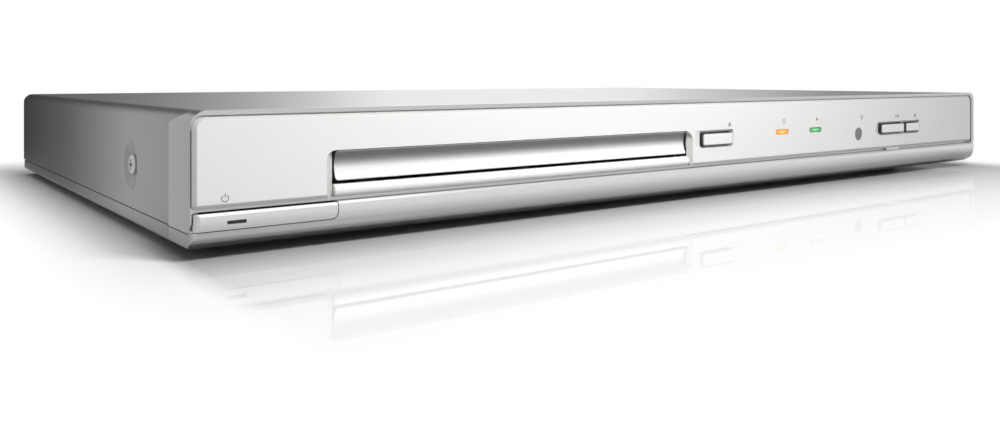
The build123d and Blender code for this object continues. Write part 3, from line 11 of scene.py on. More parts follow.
import bpy
import numpy as np
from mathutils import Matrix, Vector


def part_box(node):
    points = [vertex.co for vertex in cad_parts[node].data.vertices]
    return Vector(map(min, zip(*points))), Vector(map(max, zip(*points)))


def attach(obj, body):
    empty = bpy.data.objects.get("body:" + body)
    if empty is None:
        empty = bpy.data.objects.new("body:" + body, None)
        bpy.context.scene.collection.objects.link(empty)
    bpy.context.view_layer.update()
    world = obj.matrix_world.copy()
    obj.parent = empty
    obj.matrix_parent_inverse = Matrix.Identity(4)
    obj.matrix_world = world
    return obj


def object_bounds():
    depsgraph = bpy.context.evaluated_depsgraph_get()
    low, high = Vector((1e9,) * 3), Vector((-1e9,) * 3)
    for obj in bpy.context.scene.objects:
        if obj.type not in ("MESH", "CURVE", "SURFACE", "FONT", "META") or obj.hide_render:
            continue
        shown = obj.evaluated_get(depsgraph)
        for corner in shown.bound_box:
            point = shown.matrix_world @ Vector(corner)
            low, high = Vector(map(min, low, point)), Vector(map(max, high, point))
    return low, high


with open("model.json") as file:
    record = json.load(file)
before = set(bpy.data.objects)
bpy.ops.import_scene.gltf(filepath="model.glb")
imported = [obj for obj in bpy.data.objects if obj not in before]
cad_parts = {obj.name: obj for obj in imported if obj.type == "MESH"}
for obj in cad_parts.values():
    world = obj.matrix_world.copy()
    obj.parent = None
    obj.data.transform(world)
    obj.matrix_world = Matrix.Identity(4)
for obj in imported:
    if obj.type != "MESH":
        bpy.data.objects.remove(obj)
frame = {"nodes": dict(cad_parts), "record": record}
nodes = frame["nodes"]


def as_lists(bounds):
    return [[float(value) for value in corner] for corner in bounds]


cad_bounds = as_lists(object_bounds())
low_corner, high_corner = cad_bounds
mm = 0.001
print("nodes:", len(nodes), "size in mm:",
      [round((high - low) / mm, 1) for low, high in zip(low_corner, high_corner)])

# %% [markdown]
# Every mark and lens sits on the front plate, so the plate's own box gives the front plane, and the
# case's left side gives where x starts. Places on the front are then read like on a drawing: so many
# millimetres from the left side, and so many above the underside of the case.

# %% Places on the front
case_left = low_corner[0]
front_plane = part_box("fascia_plate")[0].y
case_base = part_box("bottom_chassis")[0].z


def on_front(x, z, proud=0.0):
    """A point of the front plane, so many mm right of the left side and above the case's base."""
    return (case_left + x * mm, front_plane - proud * mm, case_base + z * mm)


print("front plane y:", round(front_plane, 5), "case base z:", round(case_base, 5))

# %% [markdown]
# ## The camera
# The picture was taken from close by, low, at the left of the front. Its upright edges are parallel,
# so the camera was level and the frame was shifted down instead of tilting the camera. A shift does
# the same here. The focal length and place were found by fitting the case's edges.

# %% Camera
image_width = 1000
image_height = 424
focal_pixels = 881.6
horizon_row = 76.3           # image row at the camera's own height
camera_turn = 0.641          # radians to the right of straight ahead
camera_place = (-74.9, -238.1, 47.3)   # mm from the left side, the front plane and the case's base


def add_object(name, data):
    """An object with that data, linked to the scene."""
    thing = bpy.data.objects.new(name, data)
    bpy.context.scene.collection.objects.link(thing)
    return thing


camera_data = bpy.data.cameras.new("camera")
camera_data.sensor_width = 36.0
camera_data.lens = focal_pixels * camera_data.sensor_width / image_width
camera_data.shift_y = -(image_height / 2 - horizon_row) / image_width
camera_data.clip_start = 0.01
camera_data.clip_end = 100.0
camera = add_object("camera", camera_data)
camera.location = (case_left + camera_place[0] * mm, front_plane + camera_place[1] * mm,
                   case_base + camera_place[2] * mm)
camera.rotation_euler = (pi / 2, 0.0, -camera_turn)
bpy.context.scene.camera = camera
print("camera at", [round(value, 4) for value in camera.location], "lens", round(camera_data.lens, 2))

# %% [markdown]
# ## Shader helpers
# A material is a small network. These helpers keep each network short: two make a node or a group
# node and set its plain values, one joins two sockets, one starts a material with its Principled
# shader, and one empties a network to build it from nothing. Colours are written as they look on
# screen and turned into the linear values that shaders work in.

# %% Shader helpers
def linear(colour):
    """Screen colour to linear light, by the usual sRGB curve."""
    values = np.asarray(colour, float)
    curve = np.where(values <= 0.04045, values / 12.92, ((values + 0.055) / 1.055) ** 2.4)
    return (*curve.tolist(), 1.0)


def add_node(tree, kind, **inputs):
    """A node of that kind, with plain values on the named inputs."""
    node = tree.nodes.new(kind)
    for name, value in inputs.items():
        node.inputs[name.replace("_", " ")].default_value = value
    return node


def add_group(tree, group, **inputs):
    """A node that holds a group, with plain values on the group's named inputs."""
    node = tree.nodes.new("ShaderNodeGroup")
    node.node_tree = group
    for name, value in inputs.items():
        node.inputs[name].default_value = value
    return node


def join(tree, source, target):
    """Link one output socket to one input socket."""
    tree.links.new(source, target)


def bare_tree(owner, output_kind):
    """The emptied network of a material or a world, and its new output node."""
    owner.use_nodes = True
    tree = owner.node_tree
    tree.nodes.clear()
    return tree, tree.nodes.new(output_kind)


def start_material(name, colour, roughness, metallic=0.0, **extra):
    """A material whose Principled shader holds the values that are the same all over."""
    material = bpy.data.materials.new(name)
    material.use_nodes = True
    tree = material.node_tree
    shader = tree.nodes["Principled BSDF"]
    shader.inputs["Base Color"].default_value = linear(colour)
    shader.inputs["Roughness"].default_value = roughness
    shader.inputs["Metallic"].default_value = metallic
    for socket, value in extra.items():
        shader.inputs[socket.replace("_", " ")].default_value = value
    material.diffuse_color = linear(colour)
    return material, tree, shader


# %% [markdown]
# ## Effects that several finishes share
# Paint, moulded plastic and rolled metal all differ a little from point to point. Three node groups
# hold these effects. *fine grain* is the tiny relief of a surface, as a normal, with the matching
# change in gloss. *soft variation* is the slow drift in tone that hands and dust leave. The third
# group adds a second tone to it on faces that turn away from a chosen direction, and that tone is
# painted shade. Building them once, with named inputs, lets each material choose its own scale and
# strength.

# %% Node groups
def new_group(name, inputs, outputs):
    """An empty node group with float, colour or vector sockets, and its two end nodes."""
    group = bpy.data.node_groups.new(name, "ShaderNodeTree")
    for label, kind, value in inputs:
        socket = group.interface.new_socket(name=label, in_out="INPUT", socket_type=kind)
        if value is not None:
            socket.default_value = value
    for label, kind in outputs:
        group.interface.new_socket(name=label, in_out="OUTPUT", socket_type=kind)
    return group, group.nodes.new("NodeGroupInput"), group.nodes.new("NodeGroupOutput")


def build_fine_grain():
    """Noise at the given scale, as a bump normal and as a roughness that swings round its middle."""
    group, source, sink = new_group(
        "fine grain",
        [("Scale", "NodeSocketFloat", 2500.0), ("Relief", "NodeSocketFloat", 0.05),
         ("Roughness", "NodeSocketFloat", 0.4), ("Swing", "NodeSocketFloat", 0.05)],
        [("Roughness", "NodeSocketFloat"), ("Normal", "NodeSocketVector")])
    place = group.nodes.new("ShaderNodeTexCoord")
    noise = add_node(group, "ShaderNodeTexNoise", Detail=3.0, Roughness=0.6)
    bump = add_node(group, "ShaderNodeBump", Distance=0.00005)
    middle = add_node(group, "ShaderNodeMath")
    middle.operation = "SUBTRACT"
    middle.inputs[1].default_value = 0.5
    swing = add_node(group, "ShaderNodeMath")
    swing.operation = "MULTIPLY_ADD"
    join(group, place.outputs["Object"], noise.inputs["Vector"])
    join(group, source.outputs["Scale"], noise.inputs["Scale"])
    join(group, noise.outputs["Fac"], bump.inputs["Height"])
    join(group, source.outputs["Relief"], bump.inputs["Strength"])
    join(group, noise.outputs["Fac"], middle.inputs[0])
    join(group, middle.outputs["Value"], swing.inputs[0])
    join(group, source.outputs["Swing"], swing.inputs[1])
    join(group, source.outputs["Roughness"], swing.inputs[2])
    join(group, swing.outputs["Value"], sink.inputs["Roughness"])
    join(group, bump.outputs["Normal"], sink.inputs["Normal"])
    return group


def build_soft_variation():
    """A colour mixed a little towards a second one by a slow noise."""
    group, source, sink = new_group(
        "soft variation",
        [("Color", "NodeSocketColor", None), ("Other", "NodeSocketColor", None),
         ("Amount", "NodeSocketFloat", 0.2), ("Scale", "NodeSocketFloat", 30.0)],
        [("Color", "NodeSocketColor")])
    place = group.nodes.new("ShaderNodeTexCoord")
    noise = add_node(group, "ShaderNodeTexNoise", Detail=5.0, Roughness=0.55)
    share = add_node(group, "ShaderNodeMath")
    share.operation = "MULTIPLY"
    mix = group.nodes.new("ShaderNodeMix")
    mix.data_type = "RGBA"
    join(group, place.outputs["Object"], noise.inputs["Vector"])
    join(group, source.outputs["Scale"], noise.inputs["Scale"])
    join(group, noise.outputs["Fac"], share.inputs[0])
    join(group, source.outputs["Amount"], share.inputs[1])
    join(group, share.outputs["Value"], mix.inputs["Factor"])
    join(group, source.outputs["Color"], mix.inputs["A"])
    join(group, source.outputs["Other"], mix.inputs["B"])
    join(group, mix.outputs["Result"], sink.inputs["Color"])
    return group


def build_face_and_painted_shade():
    """Soft variation on faces that look along Facing, a darker tone of painted shade where they turn
    away from it.
    """
    group, source, sink = new_group(
        "face and painted shade",
        [("Color", "NodeSocketColor", None), ("Other", "NodeSocketColor", None),
         ("Edge", "NodeSocketColor", None), ("Facing", "NodeSocketVector", (0.0, -1.0, 0.0)),
         ("Turned", "NodeSocketFloat", 0.93), ("Straight", "NodeSocketFloat", 0.999),
         ("Amount", "NodeSocketFloat", 0.2), ("Scale", "NodeSocketFloat", 30.0)],
        [("Color", "NodeSocketColor")])
    tone = add_group(group, soft_variation)
    for label in ("Color", "Other", "Amount", "Scale"):
        join(group, source.outputs[label], tone.inputs[label])
    # Painted shade: the less a face looks along Facing, the more it takes the shade colour in place of
    # its own.
    place = group.nodes.new("ShaderNodeTexCoord")
    forward = group.nodes.new("ShaderNodeVectorMath")
    forward.operation = "DOT_PRODUCT"
    share = group.nodes.new("ShaderNodeMapRange")
    mix = group.nodes.new("ShaderNodeMix")
    mix.data_type = "RGBA"
    join(group, place.outputs["Normal"], forward.inputs[0])
    join(group, source.outputs["Facing"], forward.inputs[1])
    join(group, forward.outputs["Value"], share.inputs["Value"])
    join(group, source.outputs["Turned"], share.inputs["From Min"])
    join(group, source.outputs["Straight"], share.inputs["From Max"])
    join(group, share.outputs["Result"], mix.inputs["Factor"])
    join(group, source.outputs["Edge"], mix.inputs["A"])
    join(group, tone.outputs["Color"], mix.inputs["B"])
    join(group, mix.outputs["Result"], sink.inputs["Color"])
    return group


fine_grain = build_fine_grain()
soft_variation = build_soft_variation()
face_and_painted_shade = build_face_and_painted_shade()
print("node groups:", fine_grain.name, "/", soft_variation.name, "/", face_and_painted_shade.name)


# %% [markdown]
# A finish is then: a base colour with some drift, a gloss with some swing, and a relief. One function
# builds such a finish from those numbers, so each sub-part below only says which numbers it gets; they
# are estimates. Some finishes also get an edge tone, which makes faces that turn away from a chosen
# direction darker. No real paint does that. The tone stands in for dark reflections and shadows that
# the photo shows there and this room doesn't give; it was set by comparing renders with the photo.

# %% One function for a finish
second_tone = 0.86           # the drift's second colour, as a share of the first where none is given


def finish(name, colour, roughness, metallic=0.0, other=None, drift=0.15, drift_scale=30.0,
           grain=2500.0, relief=0.05, swing=0.05, painted_shade=None, facing=(0.0, -1.0, 0.0), turned=0.93,
           straight=0.999, **extra):
    """A complete material: drifting colour, grain in gloss and relief, plain values elsewhere."""
    material, tree, shader = start_material(name, colour, roughness, metallic, **extra)
    if other is None:
        other = [value * second_tone for value in colour]
    drifting = {"Color": linear(colour), "Other": linear(other), "Amount": drift,
                "Scale": drift_scale}
    # Painted shade: when a shade colour is given, faces turned away from facing are painted in it.
    if painted_shade is None:
        tone = add_group(tree, soft_variation, **drifting)
    else:
        tone = add_group(tree, face_and_painted_shade, Edge=linear(painted_shade), Facing=facing, Turned=turned,
                         Straight=straight, **drifting)
    surface = add_group(tree, fine_grain, Scale=grain, Relief=relief, Roughness=roughness,
                        Swing=swing)
    join(tree, tone.outputs["Color"], shader.inputs["Base Color"])
    join(tree, surface.outputs["Roughness"], shader.inputs["Roughness"])
    join(tree, surface.outputs["Normal"], shader.inputs["Normal"])
    return material


def dress(material, *names):
    """Give CAD nodes a material in place of the plain one that they came with."""
    for name in names:
        mesh = nodes[name].data
        mesh.materials.clear()
        mesh.materials.append(material)


# %% [markdown]
# ## The case
# The cover is sheet steel with a thin silver-grey paint: fine flakes give it a satin sheen.
# The frame and the chin are moulded plastic with a smoother metallic lacquer. The chin and the standby
# bar get a lighter copy of it, which is painted light, and a darker tone on faces that look down,
# which is painted shade.

# %% Paint of the cover, frame and chin
dress(
    finish("cover paint", (0.64, 0.64, 0.645), 0.3, metallic=0.9, drift=0.06, grain=5200.0,
           relief=0.05, swing=0.05),
    "top_cover")
dress(
    finish("frame lacquer", (0.76, 0.765, 0.765), 0.24, metallic=0.85, drift=0.05, grain=7000.0,
           relief=0.03, swing=0.04),
    "front_frame")
# Chin and standby bar: a lighter copy of the frame lacquer (painted light), with painted shade on
# faces that look down.
dress(
    finish("chin lacquer with painted light and shade", (0.84, 0.845, 0.845), 0.24, metallic=0.85, drift=0.05, grain=7000.0,
           relief=0.03, swing=0.04, painted_shade=(0.66, 0.665, 0.665), facing=(0.0, -0.5, 0.866),
           turned=-0.05, straight=0.5),
    "chin_moulding", "standby_button")
dress(
    finish("plated steel", (0.66, 0.66, 0.665), 0.32, metallic=0.85, other=(0.56, 0.56, 0.56),
           drift=0.4, drift_scale=120.0, grain=900.0, relief=0.04, swing=0.1),
    "bottom_chassis")
dress(
    finish("black rear paint", (0.13, 0.13, 0.135), 0.5, drift=0.2, grain=3500.0, relief=0.25,
           swing=0.1),
    "rear_panel")

# %% [markdown]
# ## The front
# The plate, the door, the lip and the keys are white plastic under a thin clear lacquer. The upper
# part of the door's scoop, which looks down, is painted grey in place of a dark reflection: painted
# shade. The plate's bevels are painted a little grey and the keys' side walls dark grey: painted shade
# as well.

# %% White plastics of the front
dress(
    finish("pearl white", (0.93, 0.93, 0.925), 0.22, drift=0.05, grain=9000.0, relief=0.02,
           swing=0.03, Coat_Weight=0.3, Coat_Roughness=0.08),
    "tray_sill")
# Painted shade: the upper part of the door's scoop, whose faces look down, is painted grey.
dress(
    finish("door lacquer with painted shade", (0.93, 0.93, 0.925), 0.22, drift=0.05, grain=9000.0, relief=0.02,
           swing=0.03, painted_shade=(0.5, 0.5, 0.495), facing=(0.0, -0.707, 0.707), turned=0.38,
           straight=0.8, Coat_Weight=0.3, Coat_Roughness=0.08),
    "tray_door")
# Painted shade: the plate's bevels and other faces that don't look straight ahead are painted a little
# grey.
dress(
    finish("plate lacquer with painted shade", (0.93, 0.93, 0.925), 0.22, drift=0.05, grain=9000.0, relief=0.02,
           swing=0.03, painted_shade=(0.8, 0.8, 0.79), Coat_Weight=0.3, Coat_Roughness=0.08),
    "fascia_plate")
# Painted shadow: the keys' side walls, down in their gaps, are painted dark grey.
dress(
    finish("key lacquer with painted shadow", (0.94, 0.94, 0.935), 0.25, metallic=0.1, drift=0.05, grain=8000.0,
           relief=0.02, swing=0.03, painted_shade=(0.2, 0.2, 0.2), turned=0.6, Coat_Weight=0.3,
           Coat_Roughness=0.1),
    "open_close_button", "play_pause_button", "stop_button")

# %% [markdown]
# The two indicator lenses glow: an amber one while the player is on, a green one while it plays. The
# glow comes from a diode behind tinted plastic, so each lens is brightest in its middle. A gradient
# along the lens, taken from Object coordinates that a Mapping node centres on it, gives that.

# %% Indicator lenses
glow_width = 1.2             # where the glow ends sideways, in half widths of the lens
glow_height = 1.15           # and up and down, in half heights


def lens_glow(name, node, rim, core, strength):
    """Tinted plastic that glows most in its middle: the emission falls towards the rim."""
    material, tree, shader = start_material(name, rim, 0.18, Coat_Weight=0.5)
    low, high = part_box(node)
    half = (high - low) / 2
    place = tree.nodes.new("ShaderNodeTexCoord")
    mapping = tree.nodes.new("ShaderNodeMapping")
    mapping.vector_type = "TEXTURE"
    mapping.inputs["Location"].default_value = (low + high) / 2
    mapping.inputs["Scale"].default_value = (half.x * glow_width, 1.0, half.z * glow_height)
    fall = tree.nodes.new("ShaderNodeTexGradient")
    fall.gradient_type = "SPHERICAL"
    ramp = tree.nodes.new("ShaderNodeValToRGB")
    ramp.color_ramp.elements[0].color = linear(rim)
    ramp.color_ramp.elements[1].color = linear(core)
    ramp.color_ramp.elements[0].position = 0.1
    ramp.color_ramp.elements[1].position = 0.85
    join(tree, place.outputs["Object"], mapping.inputs["Vector"])
    join(tree, mapping.outputs["Vector"], fall.inputs["Vector"])
    join(tree, fall.outputs["Fac"], ramp.inputs["Fac"])
    join(tree, ramp.outputs["Color"], shader.inputs["Base Color"])
    join(tree, ramp.outputs["Color"], shader.inputs["Emission Color"])
    shader.inputs["Emission Strength"].default_value = strength
    dress(material, node)


lens_glow("amber lens", "on_lens", (0.82, 0.45, 0.06), (1.0, 0.74, 0.3), 0.5)
lens_glow("green lens", "play_lens", (0.12, 0.42, 0.22), (0.42, 0.8, 0.48), 0.4)
dress(
    finish("sensor window", (0.34, 0.32, 0.33), 0.12, drift=0.1, grain=6000.0, relief=0.02,
           swing=0.02, Coat_Weight=1.0),
    "ir_window")

# %% [markdown]
# ## Small metal and rubber
# Screws are bright plated steel; feet are dark rubber with a dry, dusty surface.

# %% Screws, feet and other small pieces
dress(
    finish("bright plated steel", (0.82, 0.82, 0.83), 0.2, metallic=1.0, drift=0.1, grain=1500.0,
           relief=0.05, swing=0.12),
    "cover_side_screws", "cover_rear_screws", "front_board_screws", "loader_screws",
    "board_screws", "guide_rods")
dress(
    finish("foot rubber", (0.1, 0.1, 0.1), 0.75, other=(0.2, 0.19, 0.18), drift=0.4,
           drift_scale=200.0, grain=2200.0, relief=0.3, swing=0.1),
    "feet")
dress(
    finish("belt rubber", (0.06, 0.06, 0.06), 0.6, drift=0.2, grain=3000.0, relief=0.1, swing=0.1),
    "drive_belt")

# %% [markdown]
# ## Inside
# When the tray is out, the loader shows through the window. Its mouldings are black ABS with a fine
# spark-eroded texture; gears are milky acetal; motors are satin steel cans; pulleys are brass.

# %% Mouldings and gears of the loader
dress(
    finish("tray plastic", (0.13, 0.13, 0.135), 0.42, drift=0.15, grain=3200.0, relief=0.35,
           swing=0.1),
    "tray")
dress(
    finish("loader plastic", (0.1, 0.1, 0.105), 0.55, drift=0.2, grain=2600.0, relief=0.3,
           swing=0.1),
    "loader_frame", "deck_plate", "pickup_sled", "turntable")
dress(
    finish("acetal", (0.86, 0.85, 0.8), 0.35, other=(0.78, 0.76, 0.7), drift=0.3, grain=1800.0,
           relief=0.05, swing=0.05, Subsurface_Weight=0.1, Subsurface_Radius=(0.002, 0.002, 0.0015)),
    "drive_gear", "pulley_gear", "feed_gear", "cam_slider", "clamper")
dress(
    finish("motor can", (0.66, 0.66, 0.65), 0.32, metallic=0.9, drift=0.3, drift_scale=150.0,
           grain=1200.0, relief=0.05, swing=0.12),
    "loading_motor", "spindle_motor", "feed_motor", "clamp_bridge")
dress(
    finish("turned brass", (0.8, 0.65, 0.32), 0.28, metallic=1.0, drift=0.3, drift_scale=300.0,
           grain=1500.0, relief=0.05, swing=0.1),
    "motor_pulley", "feed_pinion")

# %% Boards and what they carry
dress(
    finish("green board", (0.06, 0.3, 0.14), 0.32, other=(0.1, 0.4, 0.2), drift=0.5,
           drift_scale=420.0, grain=800.0, relief=0.2, swing=0.1, Coat_Weight=0.3),
    "main_board", "front_board")
dress(
    finish("paper board", (0.6, 0.46, 0.26), 0.5, drift=0.3, drift_scale=200.0, grain=900.0,
           relief=0.15, swing=0.1),
    "power_board")
dress(
    finish("chip resin", (0.08, 0.08, 0.085), 0.5, drift=0.2, grain=2500.0, relief=0.3, swing=0.1),
    "main_chips", "tact_switches", "ir_receiver")
dress(
    finish("capacitor sleeve", (0.09, 0.1, 0.22), 0.25, drift=0.2, grain=900.0, relief=0.05,
           swing=0.1),
    "board_capacitors", "power_capacitors")
dress(
    finish("winding tape", (0.78, 0.66, 0.2), 0.4, other=(0.5, 0.4, 0.12), drift=0.5,
           drift_scale=160.0, grain=700.0, relief=0.2, swing=0.1),
    "transformer")
dress(
    finish("bare aluminium", (0.75, 0.76, 0.77), 0.35, metallic=1.0, drift=0.2, grain=1100.0,
           relief=0.1, swing=0.12),
    "heat_sink")
dress(
    finish("diode resin", (0.9, 0.72, 0.4), 0.2, drift=0.1, grain=2000.0, relief=0.02, swing=0.05),
    "leds")
dress(
    finish("flat cable film", (0.88, 0.88, 0.85), 0.3, other=(0.6, 0.6, 0.58), drift=0.6,
           drift_scale=700.0, grain=1500.0, relief=0.05, swing=0.05),
    "ribbon_cable")
dress(
    finish("pickup lens", (0.5, 0.56, 0.75), 0.05, drift=0.1, grain=3000.0, relief=0.0, swing=0.01,
           Coat_Weight=1.0),
    "objective_lens")
dress(
    finish("socket plastic", (0.09, 0.09, 0.09), 0.45, drift=0.2, grain=2500.0, relief=0.2,
           swing=0.1),
    "ac_inlet", "round_socket", "optical_socket")
dress(
    finish("socket plating", (0.78, 0.77, 0.74), 0.22, metallic=1.0, drift=0.2, grain=1500.0,
           relief=0.05, swing=0.1),
    "audio_jacks", "video_jacks", "digital_jack")
print("materials:", len(bpy.data.materials))

# %% [markdown]
# ## New surfaces
# The points of new pieces are worked out as whole arrays. There are two forms: a closed tube, whose
# grid of points joins up with itself in both directions, and a flat prism with any outline.

# %% From arrays to meshes
def put_in_scene(name, vertices, faces, material, body):
    """A mesh object at the origin, from a point array and a face list, riding on a CAD body."""
    mesh = bpy.data.meshes.new(name)
    mesh.from_pydata(vertices.tolist(), [], faces)
    mesh.materials.append(material)
    mesh.update()
    piece = add_object(name, mesh)
    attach(piece, body)
    return piece


def ring_faces(around, along):
    """Quads of a closed tube: row i and its next row, column j and the next one round."""
    row, column = np.meshgrid(np.arange(along), np.arange(around), indexing="ij")
    next_row = (row + 1) % along
    next_column = (column + 1) % around
    corners = [row * around + column, row * around + next_column,
               next_row * around + next_column, next_row * around + column]
    return np.stack(corners, -1).reshape(-1, 4).tolist()


def prism(outline, thickness):
    """A flat prism: the outline at the front, the same outline behind, and walls between them.

    The outline is an array of (x, z) in metres, in order round it. The front faces -y.
    """
    count = len(outline)
    front = np.column_stack([outline[:, 0], np.zeros(count), outline[:, 1]])
    back = front + np.array([0.0, thickness, 0.0])
    here = np.arange(count)
    after = (here + 1) % count
    walls = np.stack([here, here + count, after + count, after], -1)
    faces = [*walls.tolist(), here.tolist(), (here[::-1] + count).tolist()]
    return np.vstack([front, back]), faces


# %% [markdown]
# ## Printed marks
# The front carries small grey symbols above its keys. The words that such a front may have are left
# off: each key gets the usual symbol of its job. A print is only ink, so each mark is a thin skin, a
# few hundredths of a millimetre thick, that lies on the plate.

# %% Outlines of the symbols
ink = finish("grey print", (0.42, 0.43, 0.44), 0.45, drift=0.1, grain=6000.0, relief=0.02, swing=0.05)
ink_height = 0.03 * mm


def print_mark(name, outlines, x, z):
    """One mark of several outlines, each a list of (x, z) in mm about its own middle."""
    all_vertices = []
    all_faces = []
    start = 0
    base = np.array(on_front(x, z))
    for outline in outlines:
        vertices, faces = prism(np.asarray(outline, float) * mm, ink_height)
        all_vertices.append(vertices + base - np.array([0.0, ink_height, 0.0]))
        all_faces += [[corner + start for corner in face] for face in faces]
        start += len(vertices)
    put_in_scene(name, np.vstack(all_vertices), all_faces, ink, "case")


def box_outline(x0, x1, z0, z1):
    """A rectangle, counter-clockwise as seen from the front."""
    return [(x0, z0), (x1, z0), (x1, z1), (x0, z1)]


def arc_band(radius, width, start, stop, steps=28):
    """A band along an arc: points out along the outer radius and back along the inner one."""
    angles = np.radians(np.linspace(start, stop, steps))
    arc = np.column_stack([np.cos(angles), np.sin(angles)])
    return np.vstack([arc * (radius + width / 2), arc[::-1] * (radius - width / 2)])


power_mark = [arc_band(0.95, 0.24, 125, 415), box_outline(-0.12, 0.12, 0.25, 1.4)]
eject_mark = [[(-1.0, 0.0), (1.0, 0.0), (0.0, 1.15)], box_outline(-1.0, 1.0, -0.65, -0.3)]
play_mark = [[(-1.9, -0.75), (-0.6, 0.0), (-1.9, 0.75)], box_outline(0.0, 0.42, -0.72, 0.72),
             box_outline(0.85, 1.27, -0.72, 0.72)]
stop_mark = [box_outline(-0.68, 0.68, -0.68, 0.68)]
sensor_mark = [arc_band(0.9, 0.22, 20, 160), arc_band(1.7, 0.22, 35, 145),
               arc_band(0.22, 0.3, 0, 359)]
on_mark = [arc_band(0.85, 0.26, 0, 359)]
playing_mark = [[(-0.7, -0.85), (0.85, 0.0), (-0.7, 0.85)]]

# %% Marks on the plate
print_mark("standby_mark", power_mark, 9.0, 13.9)
print_mark("eject_mark", eject_mark, 222.6, 27.0)
print_mark("play_pause_mark", play_mark, 354.6, 27.1)
print_mark("stop_mark", stop_mark, 371.6, 27.1)
print_mark("on_mark", on_mark, 260.0, 27.4)
print_mark("playing_mark", playing_mark, 285.0, 27.6)
print_mark("sensor_mark", sensor_mark, 322.0, 26.6)
print("marks printed at height (mm):", ink_height / mm)

# %% [markdown]
# The bar at the lower left has a small slot in its face; a thin dark grey block lies at its bottom, so
# the slot shows dark.

# %% Dark block in the bar's slot
slot_left, slot_right, slot_low, slot_high = 9.3, 14.7, 6.85, 7.85
slot_floor = -0.2            # mm behind the front plane: the bar stands proud of it, and so does this
slot_block_thickness = 0.25       # mm
slot_dark_grey = finish("slot block", (0.2, 0.2, 0.2), 0.5, drift=0.2, grain=3000.0, relief=0.1, swing=0.1)


def block_corners(x0, x1, y0, y1, z0, z1):
    """The eight corners of a box in millimetres from the left side, front plane and case base."""
    x, y, z = np.meshgrid([x0, x1], [y0, y1], [z0, z1], indexing="ij")
    origin = np.array([case_left, front_plane, case_base])
    return np.stack([x, y, z], -1).reshape(-1, 3) * mm + origin


block_faces = [[0, 1, 3, 2], [4, 6, 7, 5], [0, 4, 5, 1], [2, 3, 7, 6], [0, 2, 6, 4], [1, 5, 7, 3]]
put_in_scene("bar_slot_block",
             block_corners(slot_left, slot_right, slot_floor - slot_block_thickness, slot_floor,
                           slot_low, slot_high),
             block_faces, slot_dark_grey, "standby_button")
print("bar slot block from", slot_left, "to", slot_right)

# %% [markdown]
# ## Rings of the rear sockets
# Round signal sockets are told apart by a coloured plastic band round each sleeve. A band is a small
# oval profile carried round a circle: the angle round the sleeve is one parameter and the angle round
# the profile is the other. It ends short of the sleeve, so the player gets no deeper.

# %% Coloured socket rings
band_middle = 1.8 * mm       # from the sleeve's end to the middle of its band
band_thickness = 0.5 * mm    # half of the profile, away from the sleeve
band_width = 1.4 * mm        # half of the profile, along the sleeve
around, along = 16, 48       # points round the profile and round the sleeve


def socket_ring(name, centre, radius, colour):
    """Torus: centre + (radius + thickness cos v) in the ring's plane, width sin v along y."""
    u, v = np.meshgrid(np.linspace(0, 2 * pi, along, endpoint=False),
                       np.linspace(0, 2 * pi, around, endpoint=False), indexing="ij")
    reach = radius + band_thickness * np.cos(v)
    points = np.stack([reach * np.cos(u), band_width * np.sin(v), reach * np.sin(u)], -1)
    vertices = points.reshape(-1, 3) + np.asarray(centre)
    material = finish(name + " plastic", colour, 0.35, drift=0.1, grain=3000.0, relief=0.05,
                      swing=0.05)
    piece = put_in_scene(name, vertices, ring_faces(around, along), material, "case")
    piece.data.shade_smooth()


ring_colours = {
    "audio": [(0.75, 0.08, 0.08), (0.85, 0.85, 0.85)],
    "video": [(0.1, 0.45, 0.2), (0.1, 0.2, 0.6), (0.75, 0.08, 0.08), (0.85, 0.7, 0.1)],
    "digital": [(0.9, 0.42, 0.08)],
}
rear_sockets = [mount for mount in frame["record"]["mounts"]
                if mount["kind"] == "pin" and "socket" in mount["name"]]
for index, mount in enumerate(rear_sockets):
    palette = ring_colours[mount["name"].split("_")[0]]
    half = mount["dims"]["length_mm"] / 2 * mm
    x, y, z = mount["pos_m"]
    socket_ring("ring_" + mount["name"], (x, y + half - band_middle, z),
                mount["dims"]["r_mm"] * mm, palette[index % len(palette)])
print("socket rings:", len(rear_sockets))

# %% [markdown]
# ## Floor and room
# The player stands on a white gloss surface in a white room. The floor is white paint under a clear
# layer: just in front of the player it shows a soft mirror image, which fades out farther off, as on
# lightly frosted acrylic. The paint gives way to plain white within 70 mm, so the floor meets the
# white room without a line. The light that it throws back on the player is that of a grey floor.

# %% Small steps for the floor and the room
def blend_value(tree, source, start, stop, first, last):
    """A value that goes evenly from first to last while the source goes from start to stop."""
    ramp = add_node(tree, "ShaderNodeMapRange", From_Min=start, From_Max=stop, To_Min=first,
                    To_Max=last)
    join(tree, source, ramp.inputs["Value"])
    return ramp.outputs["Result"]


def combine(tree, operation, first, second):
    """One math operation on two sockets."""
    step = tree.nodes.new("ShaderNodeMath")
    step.operation = operation
    join(tree, first, step.inputs[0])
    join(tree, second, step.inputs[1])
    return step.outputs["Value"]


def seen_directly(tree):
    """1 for what the camera, a gloss or a clear piece shows, 0 for light that only brightens."""
    path = tree.nodes.new("ShaderNodeLightPath")
    shown = combine(tree, "MAXIMUM", path.outputs["Is Camera Ray"], path.outputs["Is Glossy Ray"])
    return combine(tree, "MAXIMUM", shown, path.outputs["Is Transmission Ray"])


def mix_shaders(tree, share, first, second):
    """The first shader, giving way to the second as the share goes to 1."""
    mix = tree.nodes.new("ShaderNodeMixShader")
    join(tree, share, mix.inputs["Fac"])
    join(tree, first, mix.inputs[1])
    join(tree, second, mix.inputs[2])
    return mix.outputs["Shader"]


